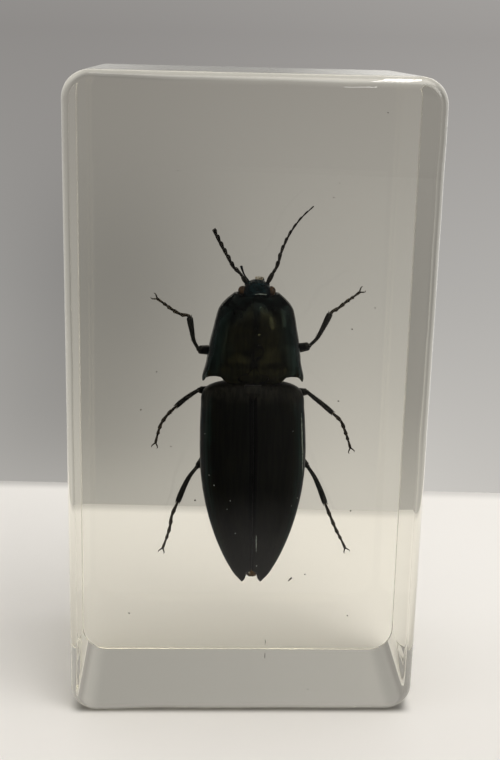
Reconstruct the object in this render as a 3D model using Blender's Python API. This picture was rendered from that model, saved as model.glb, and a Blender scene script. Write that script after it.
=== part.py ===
"""A click beetle cast in a clear resin block that stands on its short end.

The block's front face looks towards -Y and its base is on z = 0. The beetle hangs in the resin with its
back to the front face and its head up. The resin is one piece in the real object. Here it is parted in
two, in the plane where its legs lie, so that the pocket round the beetle is an open shape in each half.
"""

import math

import bmesh
import bpy
import numpy as np
from mathutils import Vector

# Driving dimensions of the block, in metres
BLOCK_WIDTH = 0.040
BLOCK_DEPTH = 0.026
BLOCK_HEIGHT = 0.073
CORNER_RADIUS = 0.003
EDGE_RADIUS = 0.0012
CORNER_SEGMENTS = 5
EDGE_SEGMENTS = 3
GAP = 0.0003
PARTING_Y = 0.0016

# Driving dimensions of the beetle, in millimetres
MM = 0.001
BODY_X = 0.85
MARGIN_Y = 0.4
SHELL_ROUNDNESS = 2.3
ELYTRON_THICKNESS = 0.35
THINNEST_SHARE = 0.4
LEG_CHANNEL_RADIUS = 1.1
ANTENNA_CHANNEL_RADIUS = 0.9
CHANNEL_OVERRUN = 0.8
RING_POINTS = 20
ARC_POINTS = 8
SHARP_ANGLE = math.radians(35)

# Each station of a loft: height up the block, half width, rise towards the front, depth towards the back
HEAD_STATIONS = (
    (46.90, 1.30, 0.90, 0.90),
    (47.60, 1.75, 1.30, 1.30),
    (48.50, 1.85, 1.45, 1.50),
    (49.20, 1.65, 1.25, 1.45),
    (49.80, 1.20, 0.80, 1.20),
    (50.15, 0.60, 0.35, 0.80),
)
PROTHORAX_STATIONS = (
    (38.60, 5.90, 2.60, 2.10),
    (39.20, 5.80, 2.90, 2.30),
    (40.30, 5.50, 3.20, 2.40),
    (42.20, 5.27, 3.40, 2.40),
    (44.40, 4.85, 3.30, 2.40),
    (46.00, 4.48, 2.95, 2.30),
    (47.20, 3.92, 2.55, 2.15),
    (47.90, 3.35, 2.25, 2.00),
    (48.30, 2.80, 2.00, 1.90),
)
HIND_BODY_STATIONS = (
    (13.50, 0.55, 0.20, 0.50),
    (14.40, 1.15, 0.50, 0.90),
    (16.50, 2.60, 1.10, 1.40),
    (19.50, 3.90, 1.75, 1.90),
    (22.50, 4.75, 2.25, 2.30),
    (26.00, 5.35, 2.65, 2.60),
    (29.50, 5.50, 2.85, 2.80),
    (33.50, 5.35, 2.85, 2.90),
    (36.40, 5.10, 2.60, 2.80),
    (37.60, 4.00, 2.10, 2.40),
    (38.30, 3.10, 1.70, 2.00),
)
# Elytron stations: height up the block, inner edge from the suture, outer edge, rise towards the front
ELYTRON_STATIONS = (
    (12.95, 0.98, 1.18, 0.40),
    (13.60, 0.82, 1.75, 0.85),
    (14.30, 0.62, 2.28, 1.20),
    (14.80, 0.15, 2.60, 1.38),
    (16.00, 0.15, 3.25, 1.75),
    (17.50, 0.15, 3.90, 2.15),
    (19.50, 0.15, 4.63, 2.55),
    (22.50, 0.15, 5.45, 3.05),
    (26.00, 0.15, 6.07, 3.40),
    (29.50, 0.15, 6.25, 3.60),
    (33.00, 0.15, 6.15, 3.60),
    (36.00, 0.15, 5.95, 3.40),
    (37.30, 0.15, 5.60, 3.10),
    (37.80, 0.15, 4.80, 2.80),
    (38.15, 0.15, 3.60, 2.50),
)
# The pocket's stations leave the clearance round the head, the thorax, the elytra and the folded thighs
POCKET_STATIONS = (
    (12.20, 1.40, 0.80, 0.90),
    (14.20, 2.90, 1.90, 1.90),
    (19.00, 5.20, 3.20, 2.70),
    (25.00, 6.70, 4.20, 4.70),
    (30.00, 7.00, 4.40, 5.00),
    (38.00, 6.90, 4.20, 5.00),
    (43.00, 6.20, 4.10, 4.70),
    (47.20, 4.70, 3.30, 3.00),
    (49.00, 3.40, 2.40, 2.40),
    (50.90, 1.40, 1.20, 1.50),
)

# The scutellum, a small shield between the roots of the wing cases: height, half width, front, back
SCUTELLUM_STATIONS = (
    (36.40, 0.12, -2.80, -1.60),
    (37.20, 0.85, -2.72, -1.60),
    (37.90, 0.95, -2.30, -1.20),
)
NOTCH_OVERRUN = 1.0

# The underside of the abdomen falls by a small step at the hind edge of each of its plates
PLATE_EDGES = (29.00, 25.60, 22.30, 19.20, 16.60)
PLATE_STEP = 0.12
PLATE_LIP = 0.06

# Hips, the low bosses that the legs grow from: side, into and up, half size across, into and up
HIPS = {
    "prothorax": ((0.55, 2.75, 40.60, 0.60, 0.60, 0.60),),
    "hind_body": ((0.90, 2.90, 34.90, 0.62, 0.62, 0.62), (1.70, 2.75, 30.70, 1.60, 0.55, 0.55)),
}
# The click spine under the thorax runs back over the front of the hind body
SPINE = ((BODY_X, 2.40, 41.80), (BODY_X, 3.00, 39.60), (BODY_X, 3.35, 37.40))
SPINE_RADII = (0.45, 0.32, 0.12)

EYE_SIDE = 1.62
EYE_HEIGHT = 48.75
EYE_RADIUS = 0.55
HIND_ANGLE_DROP = 0.45

# Points along each leg, across, into and up the block: hip, thigh, knee, shin, ankle, foot and claw
LEGS = {
    "leg_front_left": (
        (-0.10, 4.00, 40.60), (-2.00, 3.75, 40.90), (-3.80, 2.85, 41.30), (-5.55, 1.40, 41.60),
        (-6.25, 1.55, 43.00), (-6.65, 1.80, 45.30),
        (-8.30, 2.00, 45.90), (-9.50, 2.20, 46.80), (-10.50, 2.30, 47.45),
    ),
    "leg_front_right": (
        (1.80, 4.00, 40.60), (3.70, 3.75, 41.00), (5.50, 2.85, 41.60), (7.15, 1.40, 42.20),
        (8.35, 1.55, 43.70), (9.50, 1.80, 46.00),
        (10.70, 2.00, 46.85), (11.90, 2.20, 47.80), (12.85, 2.30, 48.55),
    ),
    "leg_middle_left": (
        (-0.45, 4.15, 34.90), (-2.30, 3.95, 35.60), (-4.10, 3.00, 36.30), (-5.45, 1.50, 36.80),
        (-6.70, 1.60, 35.95), (-8.10, 1.85, 34.70),
        (-9.50, 2.00, 33.20), (-10.25, 2.20, 31.40), (-10.55, 2.30, 30.00),
    ),
    "leg_middle_right": (
        (2.15, 4.15, 34.90), (4.00, 3.95, 35.60), (5.80, 3.00, 36.25), (7.10, 1.50, 36.70),
        (8.50, 1.60, 35.60), (10.20, 1.85, 34.10),
        (11.40, 2.00, 32.90), (12.15, 2.20, 31.10), (12.60, 2.30, 29.60),
    ),
    "leg_hind_left": (
        (-0.70, 4.15, 30.60), (-2.50, 3.95, 29.60), (-4.30, 3.05, 28.40), (-5.60, 1.60, 27.30),
        (-6.80, 1.65, 25.40), (-7.90, 1.85, 22.70),
        (-8.65, 2.00, 20.60), (-9.00, 2.20, 18.50), (-9.65, 2.30, 16.70),
    ),
    "leg_hind_right": (
        (2.40, 4.15, 30.60), (4.20, 3.95, 29.70), (6.00, 3.05, 28.60), (7.50, 1.60, 27.50),
        (8.65, 1.65, 25.60), (9.85, 1.85, 22.60),
        (10.80, 2.00, 20.50), (11.70, 2.20, 18.50), (12.50, 2.30, 16.80),
    ),
}
LEG_RADII = (0.42, 0.58, 0.58, 0.36, 0.28, 0.42, 0.24, 0.22, 0.16)
KNEE, ANKLE = 3, 5
CLAW_LENGTH = 0.60
CLAW_SPREAD = 0.38
CLAW_RADIUS = 0.09
CLAW_TIP_SHARE = 0.4
CLAW_BEND_ONWARD = 0.6
CLAW_BEND_OUT = 0.7

# Each antenna's points from its socket to its tip. The left one has lost its last joints.
ANTENNAE = {
    "antenna_left": (
        (-0.45, 0.90, 50.40), (-1.45, 1.00, 51.10), (-2.50, 1.05, 52.60), (-3.45, 1.10, 54.30),
        (-4.10, 1.15, 55.60),
    ),
    "antenna_right": (
        (2.35, 0.90, 50.40), (3.10, 1.00, 51.40), (3.65, 1.05, 53.20), (4.60, 1.10, 55.30),
        (5.90, 1.15, 57.20), (7.15, 1.20, 58.40),
    ),
}
ANTENNA_JOINTS = {"antenna_left": 8, "antenna_right": 11}
ANTENNA_END_RADII = {"antenna_left": (0.28, 0.20), "antenna_right": (0.28, 0.09)}
JOINT_WAIST = 0.55
JOINT_START, JOINT_END = 0.08, 0.88

# Colour and roughness of each material
FINISHES = {
    "resin": ((0.86, 0.84, 0.76, 0.30), 0.05, 0.0),
    "shell": ((0.012, 0.022, 0.016, 1.0), 0.25, 0.6),
    "wing_case": ((0.010, 0.020, 0.018, 1.0), 0.30, 0.6),
    "underside": ((0.030, 0.020, 0.014, 1.0), 0.35, 0.3),
    "leg": ((0.022, 0.014, 0.010, 1.0), 0.40, 0.2),
    "antenna": ((0.020, 0.013, 0.010, 1.0), 0.50, 0.0),
}


def clear_scene():
    for obj in list(bpy.data.objects):
        bpy.data.objects.remove(obj, do_unlink=True)


def make_collection(name):
    collection = bpy.data.collections.new(name)
    bpy.context.scene.collection.children.link(collection)
    return collection


def make_material(name, finish):
    color, roughness, metallic = FINISHES[finish]
    material = bpy.data.materials.new(name)
    material.use_nodes = True
    shader = material.node_tree.nodes["Principled BSDF"]
    shader.inputs["Base Color"].default_value = color
    shader.inputs["Alpha"].default_value = color[3]
    shader.inputs["Roughness"].default_value = roughness
    shader.inputs["Metallic"].default_value = metallic
    material.diffuse_color = color
    return material


def make_object(name, mesh, collection, finish=None):
    obj = bpy.data.objects.new(name, mesh)
    collection.objects.link(obj)
    if finish:
        mesh.materials.clear()
        mesh.materials.append(make_material(name, finish))
    return obj


def make_cutter(name, mesh):
    cutter = make_object(name, mesh, cutters)
    cutter.hide_render = True
    cutter.display_type = "WIRE"
    return cutter


def cut(obj, cutter, operation="DIFFERENCE"):
    modifier = obj.modifiers.new(cutter.name, "BOOLEAN")
    modifier.operation = operation
    modifier.object = cutter


def in_block(across, into, up):
    """A point given in millimetres, as a place in the block."""
    return Vector((across, into, up)) * MM


def ring(station, grow=0.0):
    """A closed section of the body: round in front and behind, widest at its side margins."""
    up, half_width, rise, depth = station
    points = []
    for step in range(RING_POINTS):
        angle = 2 * math.pi * step / RING_POINTS
        side = math.copysign(abs(math.sin(angle)) ** (2 / SHELL_ROUNDNESS), math.sin(angle))
        height = math.copysign(abs(math.cos(angle)) ** (2 / SHELL_ROUNDNESS), math.cos(angle))
        reach = rise if height > 0 else depth
        across = BODY_X + side * (half_width + grow)
        points.append(in_block(across, MARGIN_Y - height * (reach + grow), up))
    return points


def arc(inner, outer, rise, up, side):
    """The half arch of one wing case's section, from its edge at the suture to its side margin."""
    start = math.asin((inner / outer) ** (SHELL_ROUNDNESS / 2))
    points = []
    for angle in np.linspace(start, math.pi / 2, ARC_POINTS):
        across = outer * math.sin(angle) ** (2 / SHELL_ROUNDNESS)
        height = rise * max(math.cos(angle), 0.0) ** (2 / SHELL_ROUNDNESS)
        points.append(in_block(BODY_X + side * across, MARGIN_Y - height, up))
    return points


def loft(name, rings):
    """A closed mesh through rings of equally many points, with its ends closed to a middle point."""
    mesh = bpy.data.meshes.new(name)
    shape = bmesh.new()
    rows = [[shape.verts.new(point) for point in points] for points in rings]
    count = len(rows[0])
    for low, high in zip(rows, rows[1:]):
        for i in range(count):
            j = (i + 1) % count
            shape.faces.new((low[i], low[j], high[j], high[i]))
    for row in (rows[0], rows[-1]):
        middle = shape.verts.new(sum((corner.co for corner in row), Vector()) / count)
        for i in range(count):
            shape.faces.new((row[i], row[(i + 1) % count], middle))
    bmesh.ops.recalc_face_normals(shape, faces=shape.faces)
    shape.to_mesh(mesh)
    shape.free()
    mesh.shade_smooth()
    return mesh


def tube_mesh(name, points, radii, resolution=2):
    """A mesh of a wire through the points, with its own radius at each of them, all in metres."""
    curve = bpy.data.curves.new(name, "CURVE")
    curve.dimensions = "3D"
    curve.bevel_depth = 1.0
    curve.bevel_resolution = resolution
    curve.use_fill_caps = True
    spline = curve.splines.new("POLY")
    spline.points.add(len(points) - 1)
    for slot, point, radius in zip(spline.points, points, radii):
        slot.co = (*point, 1.0)
        slot.radius = radius
    wire = make_object(name + "_wire", curve, cutters)
    bpy.context.view_layer.update()
    mesh = bpy.data.meshes.new_from_object(wire.evaluated_get(bpy.context.evaluated_depsgraph_get()))
    mesh.name = name
    bpy.data.objects.remove(wire)
    shape = bmesh.new()
    shape.from_mesh(mesh)
    bmesh.ops.remove_doubles(shape, verts=shape.verts, dist=1e-6)
    bmesh.ops.recalc_face_normals(shape, faces=shape.faces)
    shape.to_mesh(mesh)
    shape.free()
    return mesh


def make_resin_half(name, outer_y, inner_y):
    """One half of the block, with round corners and a soft edge round its outer face."""
    mesh = bpy.data.meshes.new(name)
    shape = bmesh.new()
    bmesh.ops.create_cube(shape, size=1.0)
    middle = Vector((0, (outer_y + inner_y) / 2, BLOCK_HEIGHT / 2))
    bmesh.ops.scale(shape, verts=shape.verts, vec=(BLOCK_WIDTH, abs(outer_y - inner_y), BLOCK_HEIGHT))
    bmesh.ops.translate(shape, verts=shape.verts, vec=middle)
    corners = [edge for edge in shape.edges if abs((edge.verts[0].co - edge.verts[1].co).y) > GAP]
    bmesh.ops.bevel(
        shape, geom=corners, offset=CORNER_RADIUS, segments=CORNER_SEGMENTS, profile=0.5, affect="EDGES"
    )
    rim = [edge for edge in shape.edges if all(abs(end.co.y - outer_y) < GAP / 10 for end in edge.verts)]
    bmesh.ops.bevel(
        shape, geom=rim, offset=EDGE_RADIUS, segments=EDGE_SEGMENTS, profile=0.5, affect="EDGES"
    )
    bmesh.ops.recalc_face_normals(shape, faces=shape.faces)
    shape.to_mesh(mesh)
    shape.free()
    mesh.shade_smooth()
    mesh.set_sharp_from_angle(angle=SHARP_ANGLE)
    return make_object(name, mesh, specimen, "resin")


def channel_points(points):
    """The course of a limb, carried on past its end so that the channel clears the tip."""
    places = [in_block(*point) for point in points]
    onward = (places[-1] - places[-2]).normalized() * CHANNEL_OVERRUN * MM
    return places + [places[-1] + onward]


def make_pocket():
    """The cutters of the pocket: one round the body, and a channel along each leg and antenna."""
    yield make_cutter("pocket_body", loft("pocket_body", [ring(station) for station in POCKET_STATIONS]))
    limbs = [(name, points[KNEE - 1 :], LEG_CHANNEL_RADIUS) for name, points in LEGS.items()]
    limbs += [(name, points, ANTENNA_CHANNEL_RADIUS) for name, points in ANTENNAE.items()]
    for name, points, radius in limbs:
        places = channel_points(points)
        mesh = tube_mesh("pocket_" + name, places, [radius * MM] * len(places), 1)
        yield make_cutter("pocket_" + name, mesh)


def ball_mesh(name, half_sizes, columns=12, rows=8):
    """A round boss with its own half size along each axis, in millimetres."""
    mesh = bpy.data.meshes.new(name)
    shape = bmesh.new()
    bmesh.ops.create_uvsphere(shape, u_segments=columns, v_segments=rows, radius=MM)
    bmesh.ops.scale(shape, verts=shape.verts, vec=half_sizes)
    shape.to_mesh(mesh)
    shape.free()
    return mesh


def add_hips(obj):
    """Joins a pair of hips to the underside for each pair of legs that the piece carries."""
    for pair, (aside, into, up, *half_sizes) in enumerate(HIPS[obj.name]):
        for side, end in ((-1, "left"), (1, "right")):
            name = f"{obj.name}_hip_{pair}_{end}"
            hip = make_cutter(name, ball_mesh(name, half_sizes))
            hip.location = in_block(BODY_X + side * aside, into, up)
            cut(obj, hip, "UNION")


def make_head():
    head = make_object("head", loft("head", [ring(station) for station in HEAD_STATIONS]), specimen, "shell")
    for side, name in ((-1, "eye_left"), (1, "eye_right")):
        eye = make_cutter(name, ball_mesh(name, (EYE_RADIUS,) * 3))
        eye.location = in_block(BODY_X + side * EYE_SIDE, MARGIN_Y, EYE_HEIGHT)
        cut(head, eye, "UNION")
    return head


def make_prothorax():
    """The thorax plate and its underside, with pointed hind angles and a socket for the head."""
    rings = [ring(station) for station in PROTHORAX_STATIONS]
    for corner in (RING_POINTS // 4, 3 * RING_POINTS // 4):
        rings[0][corner].z -= HIND_ANGLE_DROP * MM
    prothorax = make_object("prothorax", loft("prothorax", rings), specimen, "shell")
    room = [ring(station, GAP / MM) for station in HEAD_STATIONS[:3]]
    low_end = [point - Vector((0, 0, GAP)) for point in room[0]]
    cut(prothorax, make_cutter("head_socket", loft("head_socket", [low_end] + room)))
    add_hips(prothorax)
    places = [in_block(*point) for point in SPINE]
    spine = tube_mesh("click_spine", places, [radius * MM for radius in SPINE_RADII], 1)
    cut(prothorax, make_cutter("click_spine", spine), "UNION")
    return prothorax


def scutellum_rings(grow=0.0):
    """Four-cornered sections of the scutellum, grown by a clearance for its notch."""
    rings = []
    for up, half_width, front_y, back_y in SCUTELLUM_STATIONS:
        corners = ((-1, front_y - grow), (1, front_y - grow), (1, back_y + grow), (-1, back_y + grow))
        rings.append([in_block(BODY_X + side * (half_width + grow), into, up) for side, into in corners])
    return rings


def stepped_stations():
    """The hind body's stations, with a step in its depth at the hind edge of each plate."""
    columns = list(zip(*HIND_BODY_STATIONS))
    stations = list(HIND_BODY_STATIONS)
    for edge in PLATE_EDGES:
        for offset, step in ((PLATE_LIP, PLATE_STEP / 2), (-PLATE_LIP, -PLATE_STEP / 2)):
            up = edge + offset
            width, rise, depth = (float(np.interp(up, columns[0], column)) for column in columns[1:])
            stations.append((up, width, rise, depth + step))
    return sorted(stations)


def make_hind_body():
    """The hind thorax and the abdomen, which grew as one piece under the wing cases."""
    rings = [ring(station) for station in stepped_stations()]
    body = make_object("hind_body", loft("hind_body", rings), specimen, "underside")
    cut(body, make_cutter("scutellum", loft("scutellum", scutellum_rings())), "UNION")
    add_hips(body)
    return body


def make_notch():
    """The cutter for the notch that both wing cases leave round the scutellum, open at their roots."""
    rings = scutellum_rings(GAP / MM)
    rings[0] = [point - Vector((0, 0, GAP)) for point in rings[0]]
    rings.append([point + Vector((0, 0, NOTCH_OVERRUN * MM)) for point in rings[-1]])
    return make_cutter("scutellum_notch", loft("scutellum_notch", rings))


def make_elytron(name, side, notch):
    """One wing case: an arched shell, open beneath, that ends in a point of its own."""
    sections = []
    for up, inner, outer, rise in ELYTRON_STATIONS:
        thickness = min(ELYTRON_THICKNESS, THINNEST_SHARE * (outer - inner), THINNEST_SHARE * rise)
        over = arc(inner, outer, rise, up, side)
        under = arc(inner, outer - thickness, rise - thickness, up, side)
        sections.append(over + under[::-1])
    elytron = make_object(name, loft(name, sections), specimen, "wing_case")
    cut(elytron, notch)
    return elytron


def make_leg(name, points):
    """A leg in one piece: thigh, shin and foot, with a pair of claws joined to its end."""
    places = [in_block(*point) for point in points]
    leg = make_object(name, tube_mesh(name, places, [radius * MM for radius in LEG_RADII]), specimen, "leg")
    onward = (places[-1] - places[-2]).normalized()
    sideways = onward.cross(Vector((0, 1, 0))).normalized()
    for side in (-1, 1):
        root = places[-1] - onward * CLAW_RADIUS * MM
        reach = onward * CLAW_LENGTH * MM
        spread = sideways * side * CLAW_SPREAD * MM
        bend = places[-1] + reach * CLAW_BEND_ONWARD + spread * CLAW_BEND_OUT
        tip = places[-1] + reach + spread
        radii = [CLAW_RADIUS * MM, CLAW_RADIUS * MM, CLAW_TIP_SHARE * CLAW_RADIUS * MM]
        claw_name = f"{name}_claw_{'a' if side < 0 else 'b'}"
        cut(leg, make_cutter(claw_name, tube_mesh(claw_name, (root, bend, tip), radii, 1)), "UNION")
    return leg


def along(points, fraction):
    """The place at a fraction of the way along a line of points."""
    lengths = [0.0]
    for start, end in zip(points, points[1:]):
        lengths.append(lengths[-1] + (end - start).length)
    wanted = fraction * lengths[-1]
    return Vector([np.interp(wanted, lengths, [point[axis] for point in points]) for axis in range(3)])


def make_antenna(name, points):
    """A saw-toothed antenna: each of its joints is narrow at its root and wide at its far end."""
    places = [in_block(*point) for point in points]
    joints = ANTENNA_JOINTS[name]
    first_radius, last_radius = ANTENNA_END_RADII[name]
    stops = []
    radii = []
    for joint in range(joints):
        radius = np.interp(joint, (0, joints - 1), (first_radius, last_radius)) * MM
        stops += [along(places, (joint + part) / joints) for part in (JOINT_START, JOINT_END)]
        radii += [JOINT_WAIST * radius, radius]
    return make_object(name, tube_mesh(name, stops, radii, 1), specimen, "antenna")


clear_scene()
specimen = make_collection("beetle_in_resin")
cutters = make_collection("cutters")

front = make_resin_half("block_front", -BLOCK_DEPTH / 2, PARTING_Y - GAP / 2)
back = make_resin_half("block_back", BLOCK_DEPTH / 2, PARTING_Y + GAP / 2)
for pocket in make_pocket():
    cut(front, pocket)
    cut(back, pocket)

make_head()
make_prothorax()
make_hind_body()
scutellum_notch = make_notch()
make_elytron("elytron_left", -1, scutellum_notch)
make_elytron("elytron_right", 1, scutellum_notch)
for leg_name, leg_points in LEGS.items():
    make_leg(leg_name, leg_points)
for antenna_name, antenna_points in ANTENNAE.items():
    make_antenna(antenna_name, antenna_points)
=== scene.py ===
import math
import random

import bmesh
import bpy
import numpy as np
from mathutils import Matrix, Vector, noise


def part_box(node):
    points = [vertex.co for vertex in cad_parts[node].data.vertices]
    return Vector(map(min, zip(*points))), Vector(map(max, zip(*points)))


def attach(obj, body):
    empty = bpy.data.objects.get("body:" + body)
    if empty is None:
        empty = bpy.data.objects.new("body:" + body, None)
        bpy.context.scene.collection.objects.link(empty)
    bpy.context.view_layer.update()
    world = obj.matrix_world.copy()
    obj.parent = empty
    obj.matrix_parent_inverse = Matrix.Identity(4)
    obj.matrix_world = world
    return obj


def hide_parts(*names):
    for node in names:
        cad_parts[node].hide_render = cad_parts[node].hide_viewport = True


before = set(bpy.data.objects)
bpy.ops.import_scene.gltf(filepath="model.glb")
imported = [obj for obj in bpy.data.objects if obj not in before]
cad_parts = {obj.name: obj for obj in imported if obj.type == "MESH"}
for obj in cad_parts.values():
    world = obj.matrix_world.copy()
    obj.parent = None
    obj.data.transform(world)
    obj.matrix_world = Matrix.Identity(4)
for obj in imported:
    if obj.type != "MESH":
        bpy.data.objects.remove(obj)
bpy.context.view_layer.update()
print("frame loaded,", len(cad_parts), "solids")

mm = 0.001  # shapes are worked out in millimetres and become metres in makePiece
inward = (0.0, 1.0, 0.0)  # from the block's front face to its back
draw = random.Random(11)
noise.seed_set(11)  # without a seed, noise_vector differs from run to run

# What all of the beetle's pieces share
beetle = {
    "middleX": 0.85,  # the beetle lies a little right of the block's middle
    "marginY": 0.4,  # its side margins lie this far behind the block's middle plane
    "roundness": 2.3,  # 2 gives round sections, more gives squarer shoulders
    "bendHeights": (12.9, 30.0, 37.5, 49.5),  # tail, wing cases, waist and head
    "bendSides": (0.24, 0.06, -0.16, 0.10),  # how far the centre line strays there
}


def glide(knots, values, where):
    # a smooth curve through listed values, read at many places at once
    knots = np.asarray(knots, float)
    values = np.asarray(values, float)
    where = np.clip(np.asarray(where, float), knots[0], knots[-1])
    slopes = np.gradient(values, knots, axis=0)
    low = np.clip(np.searchsorted(knots, where, side="right") - 1, 0, len(knots) - 2)
    span = knots[low + 1] - knots[low]
    t = (where - knots[low]) / span
    if values.ndim > 1:
        span = span[..., None]
        t = t[..., None]
    near = (1 + 2 * t) * (1 - t) ** 2 * values[low] + t * (1 - t) ** 2 * span * slopes[low]
    far = t * t * (3 - 2 * t) * values[low + 1] + t * t * (t - 1) * span * slopes[low + 1]
    return near + far


def middle(height):
    return beetle["middleX"] + np.interp(height, beetle["bendHeights"], beetle["bendSides"])


def bump(distance, reach):
    # a soft bell that is 1 where the distance is 0
    return np.exp(-((np.asarray(distance) / reach) ** 2))


def runOf(course):
    # how far along a course each of its points lies
    return np.concatenate(([0.0], np.cumsum(np.linalg.norm(np.diff(course, axis=0), axis=1))))


def alongCourse(course, shares):
    course = np.asarray(course, float)
    lengths = runOf(course)
    return glide(lengths, course, np.asarray(shares) * lengths[-1])


def unit(vector):
    return vector / np.linalg.norm(vector)


def squarer(values, power):
    # a power that keeps the sign, which turns a round section into one with shoulders
    return np.sign(values) * np.abs(values) ** power


def readAt(table, keys, height):
    return [float(glide(table["heights"], table[key], height)) for key in keys]


def bodyRow(x, lift, height):
    # points across the beetle at one height, lift being how far in front of its side margins they are
    return np.stack([x, np.full_like(x, beetle["marginY"] - lift), np.full_like(x, height)], axis=1)


def newShape():
    return {"points": [], "faces": [], "tones": []}


def addGrid(shape, grid, closed=True, tone=0):
    # quads over rows of points, each row joined round, with a fan over both ends; tone is the number of its
    # material, or one number for each column
    grid = np.asarray(grid, float)
    rows, columns = grid.shape[:2]
    tones = np.broadcast_to(tone, columns)
    first = len(shape["points"])
    shape["points"].extend(tuple(point) for point in grid.reshape(-1, 3))
    for row in range(rows - 1):
        for column in range(columns):
            other = (column + 1) % columns
            low = first + row * columns
            high = low + columns
            shape["faces"].append((low + column, low + other, high + other, high + column))
            shape["tones"].append(int(tones[column]))
    if closed:
        for row in (0, rows - 1):
            hub = len(shape["points"])
            shape["points"].append(tuple(grid[row].mean(axis=0)))
            for column in range(columns):
                edge = first + row * columns
                shape["faces"].append((edge + column, edge + (column + 1) % columns, hub))
                shape["tones"].append(int(tones[column]))


def addLimb(shape, course, widths, steps, sides=12, flat=1.0, start=1.0, end=1.0, tone=0):
    # a round-ended rod along a smooth course: widths are half widths at evenly spread places along it,
    # flat is its thickness as a share of its width, and start and end say how long its round ends are
    course = np.asarray(course, float)
    lengths = runOf(course)
    total = lengths[-1]
    widths = np.asarray(widths, float)
    share = 0.5 - 0.5 * np.cos(np.pi * np.linspace(0.0, 1.0, steps))
    path = glide(lengths, course, share * total)
    width = glide(np.linspace(0.0, 1.0, len(widths)), widths, share)
    fromStart = np.clip(share * total / max(start * widths[0], 1e-6), 0.0, 1.0)
    fromEnd = np.clip((1.0 - share) * total / max(end * widths[-1], 1e-6), 0.0, 1.0)
    rounding = np.sqrt(1.0 - (1.0 - fromStart) ** 2) * np.sqrt(1.0 - (1.0 - fromEnd) ** 2)
    width = width * np.maximum(rounding, 0.02)
    along = np.gradient(path, axis=0)
    along /= np.linalg.norm(along, axis=1)[:, None]
    side = np.cross(along, inward)
    side /= np.linalg.norm(side, axis=1)[:, None]
    lift = np.cross(side, along)
    angles = 2 * np.pi * np.arange(sides) / sides
    across = np.cos(angles)[None, :, None] * side[:, None]
    across = across + flat * np.sin(angles)[None, :, None] * lift[:, None]
    addGrid(shape, path[:, None] + width[:, None, None] * across, tone=tone)


def addBall(shape, place, sizes, columns=24, rows=16, tone=0):
    cap = 0.06  # the fan at each pole spans this angle
    polar = np.linspace(cap, math.pi - cap, rows)
    turn = 2 * math.pi * np.arange(columns) / columns
    grid = np.empty((rows, columns, 3))
    grid[..., 0] = place[0] + sizes[0] * np.sin(polar)[:, None] * np.cos(turn)
    grid[..., 1] = place[1] + sizes[1] * np.sin(polar)[:, None] * np.sin(turn)
    grid[..., 2] = place[2] - sizes[2] * np.cos(polar)[:, None]
    addGrid(shape, grid, tone=tone)


def roughen(shape, first, amount, size):
    # makes what was added since the point numbered first uneven, in lumps of about the given size
    for index in range(first, len(shape["points"])):
        point = Vector(shape["points"][index])
        shape["points"][index] = tuple(point + amount * noise.noise_vector(point / size))


def addToScene(name, data):
    thing = bpy.data.objects.new(name, data)
    bpy.context.scene.collection.objects.link(thing)
    return thing


def makePiece(name, shape, materials, nodes=(), sharp=50.0):
    mesh = bpy.data.meshes.new(name)
    mesh.from_pydata([Vector(point) * mm for point in shape["points"]], [], shape["faces"])
    for material in materials:
        mesh.materials.append(material)
    mesh.polygons.foreach_set("material_index", shape["tones"])
    work = bmesh.new()
    work.from_mesh(mesh)
    bmesh.ops.recalc_face_normals(work, faces=work.faces)
    work.to_mesh(mesh)
    work.free()
    mesh.shade_smooth()
    mesh.set_sharp_from_angle(angle=math.radians(sharp))
    piece = addToScene(name, mesh)
    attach(piece, "root")
    if nodes:
        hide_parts(*nodes)
    print("made", name, len(mesh.polygons), "faces")
    return piece


# Colours are written as three numbers, and get their fourth here
def withAlpha(value):
    return (*value, 1.0) if isinstance(value, tuple) else value


# Shader node groups, each built once and placed in several materials
def newGroup(name, inputs, outputs):
    group = bpy.data.node_groups.new(name, "ShaderNodeTree")
    for label, kind, value in inputs:
        socket = group.interface.new_socket(name=label, in_out="INPUT", socket_type=kind)
        socket.default_value = withAlpha(value)
    for label, kind in outputs:
        group.interface.new_socket(name=label, in_out="OUTPUT", socket_type=kind)
    return group, group.nodes.new("NodeGroupInput"), group.nodes.new("NodeGroupOutput")


def feed(tree, value, socket):
    # a plain number or colour is set on the socket, anything else is linked to it
    if isinstance(value, (int, float, tuple)):
        socket.default_value = withAlpha(value)
    else:
        tree.links.new(value, socket)


def addMath(tree, operation, first, second=None, clamp=False):
    node = tree.nodes.new("ShaderNodeMath")
    node.operation = operation
    node.use_clamp = clamp
    feed(tree, first, node.inputs[0])
    if second is not None:
        feed(tree, second, node.inputs[1])
    return node.outputs[0]


def times(tree, first, second):
    return addMath(tree, "MULTIPLY", first, second)


def plus(tree, first, second, clamp=False):
    return addMath(tree, "ADD", first, second, clamp)


def scaled(tree, color, level):
    node = tree.nodes.new("ShaderNodeVectorMath")
    node.operation = "SCALE"
    tree.links.new(color, node.inputs[0])
    tree.links.new(level, node.inputs["Scale"])
    return node.outputs["Vector"]


def addMix(tree, share, first, second, blend="MIX"):
    node = tree.nodes.new("ShaderNodeMix")
    node.data_type = "RGBA"
    node.blend_type = blend
    for slot, value in ((0, share), (6, first), (7, second)):
        feed(tree, value, node.inputs[slot])
    return node.outputs[2]


def addRange(tree, value, low, high, toLow=0.0, toHigh=1.0):
    node = tree.nodes.new("ShaderNodeMapRange")
    node.interpolation_type = "SMOOTHSTEP"
    tree.links.new(value, node.inputs["Value"])
    for label, number in (("From Min", low), ("From Max", high), ("To Min", toLow), ("To Max", toHigh)):
        feed(tree, number, node.inputs[label])
    return node.outputs["Result"]


def addPlace(tree):
    return tree.nodes.new("ShaderNodeTexCoord").outputs["Object"]


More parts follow.
